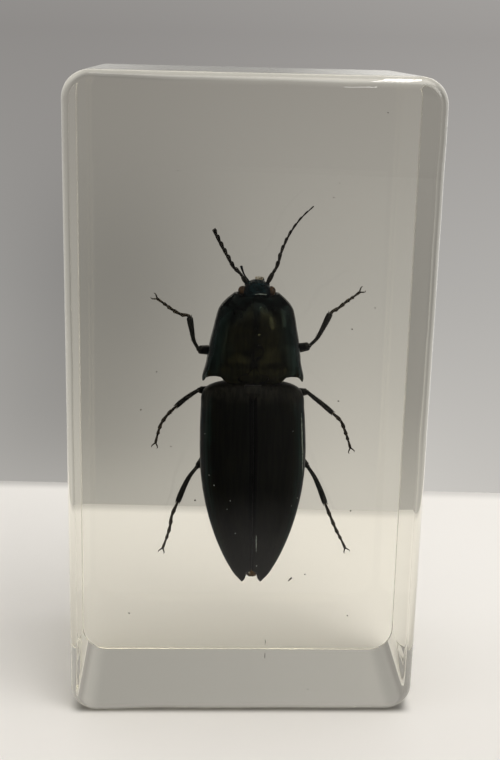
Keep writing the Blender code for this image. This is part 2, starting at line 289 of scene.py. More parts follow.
def addSplit(tree, vector):
    node = tree.nodes.new("ShaderNodeSeparateXYZ")
    tree.links.new(vector, node.inputs["Vector"])
    return node.outputs


def addNormal(tree):
    return addSplit(tree, tree.nodes.new("ShaderNodeNewGeometry").outputs["Normal"])


def addNoise(tree, scale, detail=3.0, place=None):
    node = tree.nodes.new("ShaderNodeTexNoise")
    node.inputs["Detail"].default_value = detail
    tree.links.new(place or addPlace(tree), node.inputs["Vector"])
    feed(tree, scale, node.inputs["Scale"])
    return node.outputs["Fac"]


# What the groups have in common wherever they are used; sizes of noise are counts per metre
shellNoise = {
    "pitUneven": 900.0,  # some fields of pits are deeper than others
    "pitShallow": 0.4,
    "grain": 9000.0,
    "grainDepth": 0.25,
    "clouds": 420.0,
    "cloudDetail": 4.0,
    "middleHalf": 0.06,  # sideways slope at which the painted dark reflection of the middle line ends
    "middleWander": 0.06,
    "flankWander": 0.30,
    "frontWander": 0.006,  # metres
    "streaks": 3000.0,
    "streakDrawn": 0.06,  # drawn out along the body by this scale
    "smearDetail": 6.0,
    "smearFrom": 0.40,
    "smearFull": 0.65,
}


def makePits():
    # fine round pits pressed into the shell, some deeper than others
    group, given, result = newGroup(
        "shell pits",
        (("Pits Per Metre", "NodeSocketFloat", 7000.0), ("Spread", "NodeSocketFloat", 0.35)),
        (("Height", "NodeSocketFloat"), ("Pit", "NodeSocketFloat")),
    )
    cells = group.nodes.new("ShaderNodeTexVoronoi")
    group.links.new(addPlace(group), cells.inputs["Vector"])
    group.links.new(given.outputs["Pits Per Metre"], cells.inputs["Scale"])
    pit = addRange(group, cells.outputs["Distance"], 0.0, given.outputs["Spread"], 1.0, 0.0)
    uneven = addNoise(group, shellNoise["pitUneven"])
    field = addRange(group, uneven, 0.3, 0.7, shellNoise["pitShallow"], 1.0)
    depth = times(group, pit, field)
    grain = times(group, addNoise(group, shellNoise["grain"]), shellNoise["grainDepth"])
    group.links.new(addMath(group, "SUBTRACT", grain, depth), result.inputs["Height"])
    group.links.new(depth, result.inputs["Pit"])
    return group


def makeFlankTint():
    # colours for the middle line, which carries a painted dark reflection, the back, the sloping flanks,
    # their edge and the front, in soft clouds
    group, given, result = newGroup(
        "flank tint",
        (
            ("Back Color", "NodeSocketColor", (0.005, 0.005, 0.004)),
            ("Flank Color", "NodeSocketColor", (0.006, 0.011, 0.009)),
            ("Edge Color", "NodeSocketColor", (0.005, 0.008, 0.011)),
            ("Middle Shade Color", "NodeSocketColor", (0.003, 0.003, 0.003)),
            ("Front Color", "NodeSocketColor", (0.002, 0.003, 0.003)),
            ("Front From", "NodeSocketFloat", 1.0),
            ("Front Full", "NodeSocketFloat", 2.0),
            ("Streaks", "NodeSocketFloat", 0.0),
            ("Starts At", "NodeSocketFloat", 0.35),
            ("Full At", "NodeSocketFloat", 0.75),
            ("Edge At", "NodeSocketFloat", 0.93),
        ),
        (("Color", "NodeSocketColor"),),
    )
    slope = addMath(group, "ABSOLUTE", addNormal(group)["X"])
    cloud = addNoise(group, shellNoise["clouds"], shellNoise["cloudDetail"])
    cloud = addMath(group, "SUBTRACT", cloud, 0.5)
    beside = plus(group, slope, times(group, cloud, shellNoise["middleWander"]))
    beside = addRange(group, beside, 0.0, shellNoise["middleHalf"])
    slope = plus(group, slope, times(group, cloud, shellNoise["flankWander"]))
    flank = addRange(group, slope, given.outputs["Starts At"], given.outputs["Full At"])
    edge = addRange(group, slope, given.outputs["Full At"], given.outputs["Edge At"])
    color = addMix(group, beside, given.outputs["Middle Shade Color"], given.outputs["Back Color"])
    color = addMix(group, flank, color, given.outputs["Flank Color"])
    color = addMix(group, edge, color, given.outputs["Edge Color"])
    forward = addSplit(group, addPlace(group))["Z"]
    forward = plus(group, forward, times(group, cloud, shellNoise["frontWander"]))
    front = addRange(group, forward, given.outputs["Front From"], given.outputs["Front Full"])
    color = addMix(group, front, color, given.outputs["Front Color"])
    drawnOut = group.nodes.new("ShaderNodeMapping")
    drawnOut.inputs["Scale"].default_value = (1.0, 1.0, shellNoise["streakDrawn"])
    group.links.new(addPlace(group), drawnOut.inputs["Vector"])
    streak = addNoise(group, shellNoise["streaks"], 3.0, drawnOut.outputs["Vector"])
    streak = addRange(group, streak, 0.40, 0.60, -0.5, 0.5)
    level = plus(group, times(group, streak, given.outputs["Streaks"]), 1.0)
    group.links.new(scaled(group, color, level), result.inputs["Color"])
    return group


def makeWear():
    # dull smears on a smooth finish
    group, given, result = newGroup(
        "dull smears",
        (
            ("Smooth", "NodeSocketFloat", 0.25),
            ("Dull", "NodeSocketFloat", 0.45),
            ("Size", "NodeSocketFloat", 700.0),
        ),
        (("Roughness", "NodeSocketFloat"),),
    )
    smear = addNoise(group, given.outputs["Size"], shellNoise["smearDetail"])
    mask = addRange(group, smear, shellNoise["smearFrom"], shellNoise["smearFull"])
    rough = addRange(group, mask, 0.0, 1.0, given.outputs["Smooth"], given.outputs["Dull"])
    group.links.new(rough, result.inputs["Roughness"])
    return group


pitGroup = makePits()
tintGroup = makeFlankTint()
wearGroup = makeWear()


def newMaterial(name):
    material = bpy.data.materials.new(name)
    material.use_nodes = True
    tree = material.node_tree
    return material, tree, tree.nodes["Principled BSDF"]


def placeGroup(tree, group, values):
    node = tree.nodes.new("ShaderNodeGroup")
    node.node_tree = group
    for label, value in values.items():
        node.inputs[label].default_value = withAlpha(value)
    return node


def addBump(tree, shader, height, distance, strength=1.0):
    node = tree.nodes.new("ShaderNodeBump")
    node.inputs["Strength"].default_value = strength
    node.inputs["Distance"].default_value = distance
    tree.links.new(height, node.inputs["Height"])
    tree.links.new(node.outputs["Normal"], shader.inputs["Normal"])


# The insect's skin: colours along the back and on the flanks, pits per metre,
# their depth in metres, how much painted shade darkens the pits, and gloss
skins = {
    "wing case shell": {
        "back": (0.0020, 0.0021, 0.0008), "flank": (0.0020, 0.0078, 0.0062),
        "edge": (0.0026, 0.0056, 0.0100), "startsAt": 0.50, "fullAt": 0.70, "edgeAt": 0.97,
        "middle": (0.0020, 0.0024, 0.0014), "streaks": 0.9,
        "front": (0.0080, 0.0073, 0.0050), "frontFrom": 0.0352, "frontFull": 0.0374,
        "pits": 5000.0, "spread": 0.30, "pitDepth": 0.0000002, "pitShade": 0.0,
        "smooth": 0.30, "dull": 0.38, "metallic": 0.0, "specular": 0.062,
    },
    "thorax shell": {
        "back": (0.0175, 0.0168, 0.0058), "flank": (0.0100, 0.0200, 0.0178),
        "edge": (0.0050, 0.0120, 0.0150), "startsAt": 0.22, "fullAt": 0.62, "edgeAt": 0.95,
        # the middle line is painted darker, a painted dark reflection down the thorax plate
        "middle": (0.0035, 0.0040, 0.0020), "streaks": 0.5,
        # the front is painted darker: partly the plate's own dark blue-green, partly painted shade where its
        # front slope would mirror the bright ceiling
        "front": (0.0004, 0.0026, 0.0024), "frontFrom": 0.0442, "frontFull": 0.0478,
        "pits": 9000.0, "spread": 0.30, "pitDepth": 0.000004, "pitShade": 0.4,
        "smooth": 0.05, "dull": 0.10, "metallic": 0.60, "specular": 0.06,
    },
    "head shell": {
        "back": (0.0016, 0.0085, 0.0110), "flank": (0.0018, 0.0070, 0.0100),
        "edge": (0.0022, 0.0060, 0.0100), "startsAt": 0.20, "fullAt": 0.60, "edgeAt": 0.95,
        "middle": (0.0020, 0.0090, 0.0110),
        "pits": 3000.0, "spread": 0.45, "pitDepth": 0.00024, "pitShade": 0.9,
        "smooth": 0.08, "dull": 0.18, "metallic": 0.50, "specular": 0.035,
    },
    "underside skin": {
        "back": (0.0130, 0.0080, 0.0045), "flank": (0.0085, 0.0060, 0.0045),
        "edge": (0.0070, 0.0055, 0.0045), "startsAt": 0.40, "fullAt": 0.80, "edgeAt": 0.97,
        "pits": 7000.0, "spread": 0.32, "pitDepth": 0.000020,
        "smooth": 0.28, "dull": 0.45, "metallic": 0.0, "specular": 0.20,
    },
    "leg skin": {
        "back": (0.0120, 0.0115, 0.0100), "flank": (0.0095, 0.0105, 0.0105),
        "edge": (0.0110, 0.0095, 0.0080), "startsAt": 0.30, "fullAt": 0.75, "edgeAt": 0.97,
        "pits": 9000.0, "spread": 0.36, "pitDepth": 0.000018,
        "smooth": 0.32, "dull": 0.50, "metallic": 0.0, "specular": 0.20,
    },
    "foot skin": {
        "back": (0.0330, 0.0260, 0.0170), "flank": (0.0240, 0.0190, 0.0130),
        "edge": (0.0200, 0.0160, 0.0110), "startsAt": 0.30, "fullAt": 0.75, "edgeAt": 0.97,
        "pits": 9000.0, "spread": 0.40, "pitDepth": 0.000016,
        "smooth": 0.40, "dull": 0.60, "metallic": 0.0, "specular": 0.20,
    },
    "antenna skin": {
        "back": (0.0120, 0.0100, 0.0080), "flank": (0.0120, 0.0095, 0.0075),
        "edge": (0.0120, 0.0095, 0.0075), "startsAt": 0.30, "fullAt": 0.75, "edgeAt": 0.97,
        "pits": 11000.0, "spread": 0.40, "pitDepth": 0.000014,
        "smooth": 0.45, "dull": 0.65, "metallic": 0.0, "specular": 0.20,
    },
}


def makeSkin(name):
    look = skins[name]
    material, tree, shader = newMaterial(name)
    tint = placeGroup(tree, tintGroup, {
        "Back Color": look["back"], "Flank Color": look["flank"], "Edge Color": look["edge"],
        "Starts At": look["startsAt"], "Full At": look["fullAt"], "Edge At": look["edgeAt"],
        "Middle Shade Color": look.get("middle", look["back"]), "Front Color": look.get("front", look["back"]),
        "Front From": look.get("frontFrom", 1.0), "Front Full": look.get("frontFull", 2.0),
        "Streaks": look.get("streaks", 0.0),
    })
    pits = placeGroup(tree, pitGroup, {"Pits Per Metre": look["pits"], "Spread": look["spread"]})
    wear = placeGroup(tree, wearGroup, {"Smooth": look["smooth"], "Dull": look["dull"]})
    shade = addMath(tree, "MULTIPLY", pits.outputs["Pit"], look.get("pitShade", 1.0))
    darker = addMix(tree, shade, tint.outputs["Color"], (0.0015, 0.0015, 0.0013))  # painted shade: the floor of each pit is painted darker
    tree.links.new(darker, shader.inputs["Base Color"])
    tree.links.new(wear.outputs["Roughness"], shader.inputs["Roughness"])
    shader.inputs["Metallic"].default_value = look["metallic"]
    shader.inputs["Specular IOR Level"].default_value = look["specular"]
    addBump(tree, shader, pits.outputs["Height"], look["pitDepth"])
    return material


# The small parts that have one finish all over: two colours in clouds, their size, roughness and gloss
plainSkins = {
    "seam shade": ((0.0012, 0.0013, 0.0017), (0.0007, 0.0008, 0.0010), 1500.0, 0.50, 0.03),
    "tail skin": ((0.170, 0.092, 0.022), (0.075, 0.038, 0.010), 1800.0, 0.50, 0.10),
    "eye facets": ((0.062, 0.034, 0.017), (0.032, 0.018, 0.010), 2600.0, 0.25, 0.15),
    "pale bristles": ((0.62, 0.56, 0.42), (0.42, 0.36, 0.25), 2500.0, 0.60, 0.30),
    "grey specks": ((0.20, 0.19, 0.17), (0.10, 0.09, 0.08), 4000.0, 0.70, 0.30),
    # this finish also serves the pale slivers that are painted highlights
    "pale flecks and glints": ((0.34, 0.38, 0.35), (0.14, 0.17, 0.16), 4000.0, 0.60, 0.30),
}


def makePlainSkin(name):
    light, dark, size, rough, specular = plainSkins[name]
    material, tree, shader = newMaterial(name)
    cloud = addRange(tree, addNoise(tree, size, 4.0), 0.35, 0.65)
    tree.links.new(addMix(tree, cloud, light, dark), shader.inputs["Base Color"])
    wear = placeGroup(tree, wearGroup, {"Smooth": rough, "Dull": rough + 0.15, "Size": size})
    tree.links.new(wear.outputs["Roughness"], shader.inputs["Roughness"])
    shader.inputs["Specular IOR Level"].default_value = specular
    pits = placeGroup(tree, pitGroup, {"Pits Per Metre": size * 3, "Spread": 0.5})
    addBump(tree, shader, pits.outputs["Height"], 0.00001)
    return material


resinLook = {
    "refraction": 1.55,
    "density": 6.0,  # with the colour below it takes 1, 1.7 and 4.9 per metre from red, green and blue
    "tint": (0.84, 0.72, 0.19),
    "smooth": 0.0,
    "rubbed": 0.04,
    "rubs": 160.0,  # size of the faintly rubbed places, and where in the noise they start and are full
    "rubsFrom": 0.62,
    "rubsFull": 0.80,
    "topDull": 0.22,  # the top is the mould's open side, less well polished than the rest
    "topStarts": 0.0728,  # metres above the base
    "rearDull": 0.42,  # the ground rim round the back is not polished clear
    "rearStarts": 0.0126,
    "rimFacing": (0.06, 0.985),  # a rim faces this far front or back, between a side and a flat face
    "waves": 0.000002,
    "waveSize": 45.0,
}


def makeResin():
    material, tree, shader = newMaterial("clear resin")
    feed(tree, (1.0, 1.0, 1.0), shader.inputs["Base Color"])
    shader.inputs["Transmission Weight"].default_value = 1.0
    shader.inputs["IOR"].default_value = resinLook["refraction"]
    rubs = addNoise(tree, resinLook["rubs"], 8.0)
    smooth, rubbed = resinLook["smooth"], resinLook["rubbed"]
    rubbed = addRange(tree, rubs, resinLook["rubsFrom"], resinLook["rubsFull"], smooth, rubbed)
    place = addSplit(tree, addPlace(tree))
    onTop = addMath(tree, "GREATER_THAN", place["Z"], resinLook["topStarts"])
    facing = addMath(tree, "ABSOLUTE", addNormal(tree)["Y"])
    least, most = resinLook["rimFacing"]
    above = addMath(tree, "GREATER_THAN", facing, least)
    onRim = times(tree, above, addMath(tree, "LESS_THAN", facing, most))
    onRim = times(tree, onRim, addMath(tree, "GREATER_THAN", place["Y"], resinLook["rearStarts"]))
    onTop = times(tree, onTop, resinLook["topDull"])
    dull = addMath(tree, "MAXIMUM", onTop, times(tree, onRim, resinLook["rearDull"]))
    tree.links.new(addMath(tree, "MAXIMUM", rubbed, dull), shader.inputs["Roughness"])
    addBump(tree, shader, addNoise(tree, resinLook["waveSize"], 1.0), resinLook["waves"])
    body = tree.nodes.new("ShaderNodeVolumeAbsorption")
    feed(tree, resinLook["tint"], body.inputs["Color"])
    body.inputs["Density"].default_value = resinLook["density"]
    tree.links.new(body.outputs["Volume"], tree.nodes["Material Output"].inputs["Volume"])
    return material


wingShell, thoraxShell, headShell, undersideSkin, legSkin, footSkin, antennaSkin = map(makeSkin, skins)
seamSkin, tailSkin, eyeSkin, tuftSkin, dustSkin, paleFleckGlintSkin = map(makePlainSkin, plainSkins)
resinClear = makeResin()
print("materials ready")


# The block of clear resin, one cast piece with softly ground edges
block = {
    "cornerRadius": 3.0,  # seen from the front
    "frontRim": 1.2,
    "leftRim": 0.70,  # the front rim narrows to this share on the left side
    "leftFrom": -10.0,
    "leftOver": 8.0,
    "backRim": 0.15,
    "backSideRim": 0.5,  # the rear rim narrows to this share up the sides
    "backSideFrom": 1.0,
    "backSideOver": 4.0,
    "unevenRim": 0.10,  # how much the hand-ground rim wanders
    "unevenNoise": ((0.16, 3.0, 1.0), (0.7, 8.0, 0.4)),  # scale, slice through the noise and share
    "cornerSteps": 14,
    "rimSteps": 10,
    "support": 0.05,  # keeps the flat faces flat beside their round edges
    "stretch": 1.8,  # spacing of the points along the straight sides
}


def blockOutline(low, high):
    # points and outward directions round the block seen from the front,
    # starting at the foot of its right side
    radius = block["cornerRadius"]
    corners = (
        (high.x - radius, low.z + radius, -90.0), (high.x - radius, high.z - radius, 0.0),
        (low.x + radius, high.z - radius, 90.0), (low.x + radius, low.z + radius, 180.0),
    )
    places = []
    for index, (x, z, start) in enumerate(corners):
        for step in range(block["cornerSteps"] + 1):
            angle = math.radians(start + 90.0 * step / block["cornerSteps"])
            places.append((x, z, math.cos(angle), math.sin(angle), radius))
        nextX, nextZ, _ = corners[(index + 1) % 4]
        outward = (math.cos(angle), math.sin(angle))
        run = math.hypot(nextX - x, nextZ - z)
        count = int(run / block["stretch"])
        support = block["support"] / run
        shares = [support] + [k / count for k in range(1, count)] + [1.0 - support]
        for share in shares:
            places.append((x + (nextX - x) * share, z + (nextZ - z) * share, *outward, radius))
    return places


def makeBlock():
    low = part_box("block_front")[0] / mm
    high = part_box("block_back")[1] / mm
    outline = blockOutline(low, high)

    def rimOf(radius, rear, x, z):
        uneven = sum(share * noise.noise(Vector((x * scale, cutAt, z * scale)))
                     for scale, cutAt, share in block["unevenNoise"])
        radius = radius * (1.0 + block["unevenRim"] * uneven)
        if rear:
            upward = min(max((z - block["backSideFrom"]) / block["backSideOver"], 0.0), 1.0)
            return radius * (1.0 - (1.0 - block["backSideRim"]) * upward)
        leftward = min(max((block["leftFrom"] - x) / block["leftOver"], 0.0), 1.0)
        return radius * (1.0 - (1.0 - block["leftRim"]) * leftward)

    def ringAt(rims, face, inset, sunk, inward=0.0, deeper=0.0):
        ring = []
        for (x, z, dx, dz, radius), rim in zip(outline, rims):
            out = radius - rim * inset - inward
            ring.append((x + dx * out, face(rim * sunk + deeper), z + dz * out))
        return ring

    rings = []
    support = block["support"]
    for radius, rear, face in (
        (block["frontRim"], False, lambda sunk: low.y + sunk),
        (block["backRim"], True, lambda sunk: high.y - sunk),
    ):
        rims = [rimOf(radius, rear, x, z) for x, z, *_ in outline]
        rows = [ringAt(rims, face, 1.0, 0.0, inward=support)]
        for step in range(block["rimSteps"] + 1):
            angle = math.pi / 2 * step / block["rimSteps"]
            rows.append(ringAt(rims, face, 1.0 - math.sin(angle), 1.0 - math.cos(angle)))
        rows.append(ringAt(rims, face, 0.0, 1.0, deeper=support))
        rings.append(rows)
    grid = rings[0] + rings[1][::-1]
    shape = newShape()
    addGrid(shape, grid, closed=False)
    count = len(outline)
    shape["faces"] += [tuple(range(count)), tuple(range((len(grid) - 1) * count, len(grid) * count))]
    shape["tones"] += [0, 0]
    return makePiece("resin_block", shape, [resinClear], ("block_front", "block_back"), sharp=60.0)


makeBlock()


# The two hard wing cases. Each list has a value for each height, from the tip to the shoulder.
wing = {
    "heights": (12.95, 13.3, 13.8, 14.3, 14.7, 15.5, 16.7, 18.0, 20.6, 23.5, 26.0, 29.0, 32.0, 35.0, 36.5,
                37.25, 37.65, 37.95, 38.2),
    "inner": (1.14, 0.98, 0.80, 0.62, 0.02, 0.02, 0.02, 0.02, 0.02, 0.02, 0.02, 0.02, 0.02, 0.02, 0.02,
              0.02, 0.02, 0.02, 0.02),
    "outer": (1.20, 1.50, 1.95, 2.30, 2.53, 2.98, 3.56, 4.10, 4.98, 5.68, 6.06, 6.24, 6.20, 6.04, 5.90,
              5.52, 4.98, 4.25, 3.20),
    "rise": (0.42, 0.68, 0.95, 1.18, 1.36, 1.62, 1.95, 2.25, 2.72, 3.12, 3.38, 3.56, 3.60, 3.48, 3.32,
             3.12, 2.98, 2.82, 2.55),
    "thickness": 0.30,
    "rows": 190,
    "columns": 96,
    "endCrowding": 0.55,  # how far the rows crowd towards the tip and the shoulder
    "grooves": 9,
    "grooveDepth": 0.010,
    "grooveWidth": 0.16,  # as a share of their spacing
    "grooveEnds": ((14.5, 3.0), (38.0, 1.5)),  # they start here and fade in over this much, tip and shoulder
    "grooveSides": (12.0, 9.0),  # how fast they fade towards the suture and the margin
    "sutureDip": 0.16,
    "sutureWidth": 0.14,
    "seamColumns": 3,  # this many columns of faces beside the suture lie in its shade
    "marginBead": 0.05,
    "beadAt": 0.955,
    "beadWidth": 0.018,
    "hump": 0.22,  # the shoulder hump: height, then place and size across and along
    "humpAcross": (4.55, 0.85),
    "humpAlong": (36.2, 1.3),
}


def wingRow(side, height, over):
    inner = np.interp(height, wing["heights"], wing["inner"])
    outer, rise = readAt(wing, ("outer", "rise"), height)
    thickness = min(wing["thickness"], 0.4 * (outer - inner), 0.4 * rise)
    power = 2.0 / beetle["roundness"]
    start = math.asin((inner / outer) ** (1.0 / power))
    share = np.linspace(0.0, 1.0, wing["columns"])
    angle = start + (math.pi / 2 - start) * share
    drop = 0.0 if over else thickness
    across = (outer - drop) * np.sin(angle) ** power
    lift = (rise - drop) * np.maximum(np.cos(angle), 0.0) ** power
    if over:
        (tip, tipFade), (shoulder, shoulderFade) = wing["grooveEnds"]
        fade = np.clip((height - tip) / tipFade, 0.0, 1.0)
        fade = fade * np.clip((shoulder - height) / shoulderFade, 0.0, 1.0)
        nearSuture, nearMargin = wing["grooveSides"]
        beat = np.abs((share * (wing["grooves"] + 1)) % 1.0 - 0.5) - 0.5
        groove = bump(beat, wing["grooveWidth"])
        groove = groove * np.clip(share * nearSuture, 0.0, 1.0)
        groove = groove * np.clip((1.0 - share) * nearMargin, 0.0, 1.0)
        lift = lift - wing["grooveDepth"] * fade * groove
        lift = lift - wing["sutureDip"] * bump(across - inner, wing["sutureWidth"]) * min(1.0, rise)
        lift = lift + wing["marginBead"] * bump(share - wing["beadAt"], wing["beadWidth"]) * fade
        (aside, wide), (up, tall) = wing["humpAcross"], wing["humpAlong"]
        lift = lift + wing["hump"] * bump(across - aside, wide) * bump(height - up, tall)
    return bodyRow(middle(height) + side * across, lift, height)


def makeWing(name, side):
    ease = np.linspace(0.0, 1.0, wing["rows"])
    ends = 0.5 - 0.5 * np.cos(np.pi * ease)
    low, high = wing["heights"][0], wing["heights"][-1]
    rows = []
    for share in (1.0 - wing["endCrowding"]) * ease + wing["endCrowding"] * ends:
        height = low + (high - low) * share
        rows.append(np.concatenate([wingRow(side, height, True), wingRow(side, height, False)[::-1]]))
    tones = np.zeros(2 * wing["columns"], int)
    tones[:wing["seamColumns"]] = 1
    shape = newShape()
    addGrid(shape, rows, tone=tones)
    return makePiece(name, shape, [wingShell, seamSkin], (name,), sharp=55.0)


for wingName, wingSide in (("elytron_left", -1), ("elytron_right", 1)):
    makeWing(wingName, wingSide)


# The thorax plate and its underside
thorax = {
    "marginHeights": (
        38.10, 38.50, 39.00, 39.70, 40.40, 41.30, 42.60, 44.50, 45.90, 46.70, 47.30, 48.00, 48.50,
    ),
    "marginSides": (5.84, 5.90, 5.84, 5.66, 5.50, 5.38, 5.20, 4.80, 4.50, 4.26, 3.88, 3.20, 2.60),
    "acrossShares": (0.0, 0.30, 0.50, 0.58, 0.64, 0.75, 0.88, 0.95, 1.0),
    "hindEdge": (37.95, 38.02, 38.20, 38.50, 38.93, 38.98, 38.88, 38.65, 38.10),
    "frontShares": (0.0, 0.45, 0.78, 0.92, 1.0),
    "frontEdge": (48.22, 48.18, 48.14, 48.36, 48.50),
    "riseHeights": (37.9, 38.6, 39.2, 40.3, 42.2, 44.4, 46.0, 47.2, 47.9, 48.4),
    "rise": (2.30, 2.58, 2.86, 3.16, 3.40, 3.30, 2.95, 2.55, 2.25, 1.95),
    "depth": (1.80, 2.00, 2.30, 2.40, 2.40, 2.40, 2.30, 2.15, 2.00, 1.80),
    "hindLip": ((0.80, 0.75), (0.93, 0.40), (0.972, 0.02), (0.985, -0.02)),
    "frontLip": ((0.985, 0.05), (0.95, 0.06), (0.90, -0.10), (0.84, -0.60)),
    # the cross groove before the hind edge, the low swellings behind it and the furrow between them:
    # height, then place and size along and across
    "relief": (
        (-0.16, 39.9, 0.5, 0.42, 0.30), (0.20, 38.9, 0.55, 0.36, 0.20), (-0.14, 38.9, 1.1, 0.0, 0.045),
    ),
    # the keel on each hind angle and the hollow beside it: height, place and size across, where it fades out
    "keels": ((0.16, 0.90, 0.035, 41.5, 3.0), (-0.10, 0.80, 0.07, 41.0, 2.5)),
    # faint dents that the light catches on: side, height, depth and size
    "dents": ((1.05, 42.1, 0.10, 0.55), (2.45, 42.7, 0.08, 0.70), (-1.90, 41.9, 0.08, 0.80)),
    "underShares": (0.0, 0.55, 0.85, 1.0),
    "underHind": (38.75, 38.85, 38.85, 38.10),
    "underFrontShares": (0.0, 0.5, 1.0),
    "underFront": (48.55, 48.25, 48.50),
    "breastSeam": (0.10, 0.42, 0.12, 0.025),  # depth, place, how much it leans and width
    "hips": (0.55, 2.75, 40.6),  # of the front legs: how far aside, depth and height
    "hipSize": 0.60,
    "spine": ((0.80, 2.30, 42.6), (0.80, 2.62, 41.0), (0.80, 3.0, 39.6), (0.80, 3.36, 37.45)),
    "spineWidths": (0.62, 0.42, 0.34, 0.26, 0.13),
    "rows": 120,
    "columns": 90,
}


def thoraxRow(share):
    half = thorax["columns"]
    power = 2.0 / beetle["roundness"]
    angle = np.linspace(-math.pi / 2, math.pi / 2, half)
    s = squarer(np.sin(angle), power)
    profile = np.maximum(np.cos(angle), 0.0) ** power
    low = np.interp(np.abs(s), thorax["acrossShares"], thorax["hindEdge"])
    high = glide(thorax["frontShares"], thorax["frontEdge"], np.abs(s))
    z = low + (high - low) * share
    margin = low[0] + (high[0] - low[0]) * share
    reach = float(glide(thorax["marginHeights"], thorax["marginSides"], margin))
    rise = glide(thorax["riseHeights"], thorax["rise"], z)
    lift = rise * profile
    aside = np.abs(s)
    for height, up, tall, out, wide in thorax["relief"]:
        lift = lift + height * bump(z - up, tall) * bump(aside - out, wide)
    for height, out, wide, top, fade in thorax["keels"]:
        lift = lift + height * bump(aside - out, wide) * np.clip((top - z) / fade, 0.0, 1.0)
    for x, height, depth, size in thorax["dents"]:
        lift = lift + depth * bump(np.hypot(s * reach - x, z - height), size)
    over = np.stack([middle(z) + s * reach, beetle["marginY"] - lift, z], axis=1)
    backS = s[::-1][1:-1]
    backProfile = profile[::-1][1:-1]
    lowUnder = np.interp(np.abs(backS), thorax["underShares"], thorax["underHind"])
    highUnder = np.interp(np.abs(backS), thorax["underFrontShares"], thorax["underFront"])
    zUnder = lowUnder + (highUnder - lowUnder) * share
    deep = glide(thorax["riseHeights"], thorax["depth"], zUnder) * backProfile
    depth, out, lean, wide = thorax["breastSeam"]
    deep = deep - depth * bump(np.abs(backS) - out + lean * share, wide)
    under = np.stack([middle(zUnder) + backS * reach, beetle["marginY"] + deep, zUnder], axis=1)
    return np.concatenate([over, under])


def drawnIn(row, scale, shift):
    # a copy of an edge row drawn in towards its middle and moved up, for the lip of a socket
    centre = np.array([row[:, 0].mean(), beetle["marginY"] - 0.2, 0.0])
    moved = row.copy()
    moved[:, :2] = centre[:2] + (row[:, :2] - centre[:2]) * scale
    moved[:, 2] = row[:, 2] + shift
    return moved


def makeThorax():
    ease = np.linspace(0.0, 1.0, thorax["rows"])
    shares = 0.5 * ease + 0.5 * (0.5 - 0.5 * np.cos(np.pi * ease))
    rows = [thoraxRow(share) for share in shares]
    hind, front = rows[0], rows[-1]
    lipIn = [drawnIn(hind, scale, shift) for scale, shift in thorax["hindLip"]]
    lipOut = [drawnIn(front, scale, shift) for scale, shift in thorax["frontLip"]]
    shape = newShape()
    addGrid(shape, lipIn + rows + lipOut)
    # hips of the front legs and the click spine, which reaches back over the hind body
    aside, deep, height = thorax["hips"]
    for side in (-1, 1):
        addBall(shape, (beetle["middleX"] + side * aside, deep, height), (thorax["hipSize"],) * 3)
    addLimb(shape, thorax["spine"], thorax["spineWidths"], 40, 16, 0.8)
    return makePiece("prothorax", shape, [thoraxShell], ("prothorax",), sharp=60.0)


makeThorax()


# The head: heights, half widths, rise to the front and depth to the back
head = {
    "heights": (46.8, 47.4, 48.0, 48.6, 49.0, 49.3, 49.6, 49.82, 49.98, 50.06),
    "sides": (1.20, 1.52, 1.60, 1.56, 1.49, 1.38, 1.17, 0.92, 0.62, 0.32),
    "rise": (0.85, 1.18, 1.40, 1.50, 1.42, 1.26, 1.00, 0.74, 0.48, 0.24),
    "depth": (0.90, 1.20, 1.42, 1.50, 1.46, 1.38, 1.26, 1.12, 0.90, 0.60),
    "rows": 60,
    "columns": 72,
    "squareness": 2.2,
    "hollow": (0.22, 0.60, 49.05, 0.42),  # of the forehead: depth, half width, height and half height
    "ridge": (0.10, 1.4, 49.72, 0.13),  # above it: rise, where it ends at the sides, height and half height
    # courses of mouth parts and jaws: how far aside, depth and height
    "lip": ((-0.50, 1.05, 49.62), (0.0, 0.90, 49.86), (0.50, 1.05, 49.62)),
    "lipWidths": (0.14, 0.20, 0.14),
    "jaw": ((0.84, 1.45, 49.05), (0.66, 1.40, 49.58), (0.14, 1.30, 49.92)),
    "jawWidths": (0.24, 0.20, 0.06),
    "palps": (
        ((-0.75, 1.75, 49.4), (-1.30, 1.85, 50.1), (-1.62, 1.80, 50.75), (-1.86, 1.70, 51.45)),
        ((0.55, 1.85, 49.2), (0.80, 2.10, 49.6), (0.70, 2.25, 49.9), (0.45, 2.30, 50.0)),
    ),
    "palpWidths": (0.10, 0.14, 0.09, 0.12, 0.17),
    "socket": (1.22, 0.70, 49.42),
    "socketSizes": (0.22, 0.30, 0.22),
    "bristles": 60,  # a pale tuft between the jaws
    "bristleSide": 0.22,
    "bristleSpread": 0.34,
    "bristleDepths": (0.25, 0.75),
    "bristleFoot": 49.95,
    "bristleTops": (50.22, 50.50),
    "bristleWidths": (0.022, 0.016, 0.006),
    "eyeSide": 1.60,
    "eyeHeight": 48.72,
    "eyeDepth": 0.05,
    "eyeSizes": (0.55, 0.52, 0.58),
}


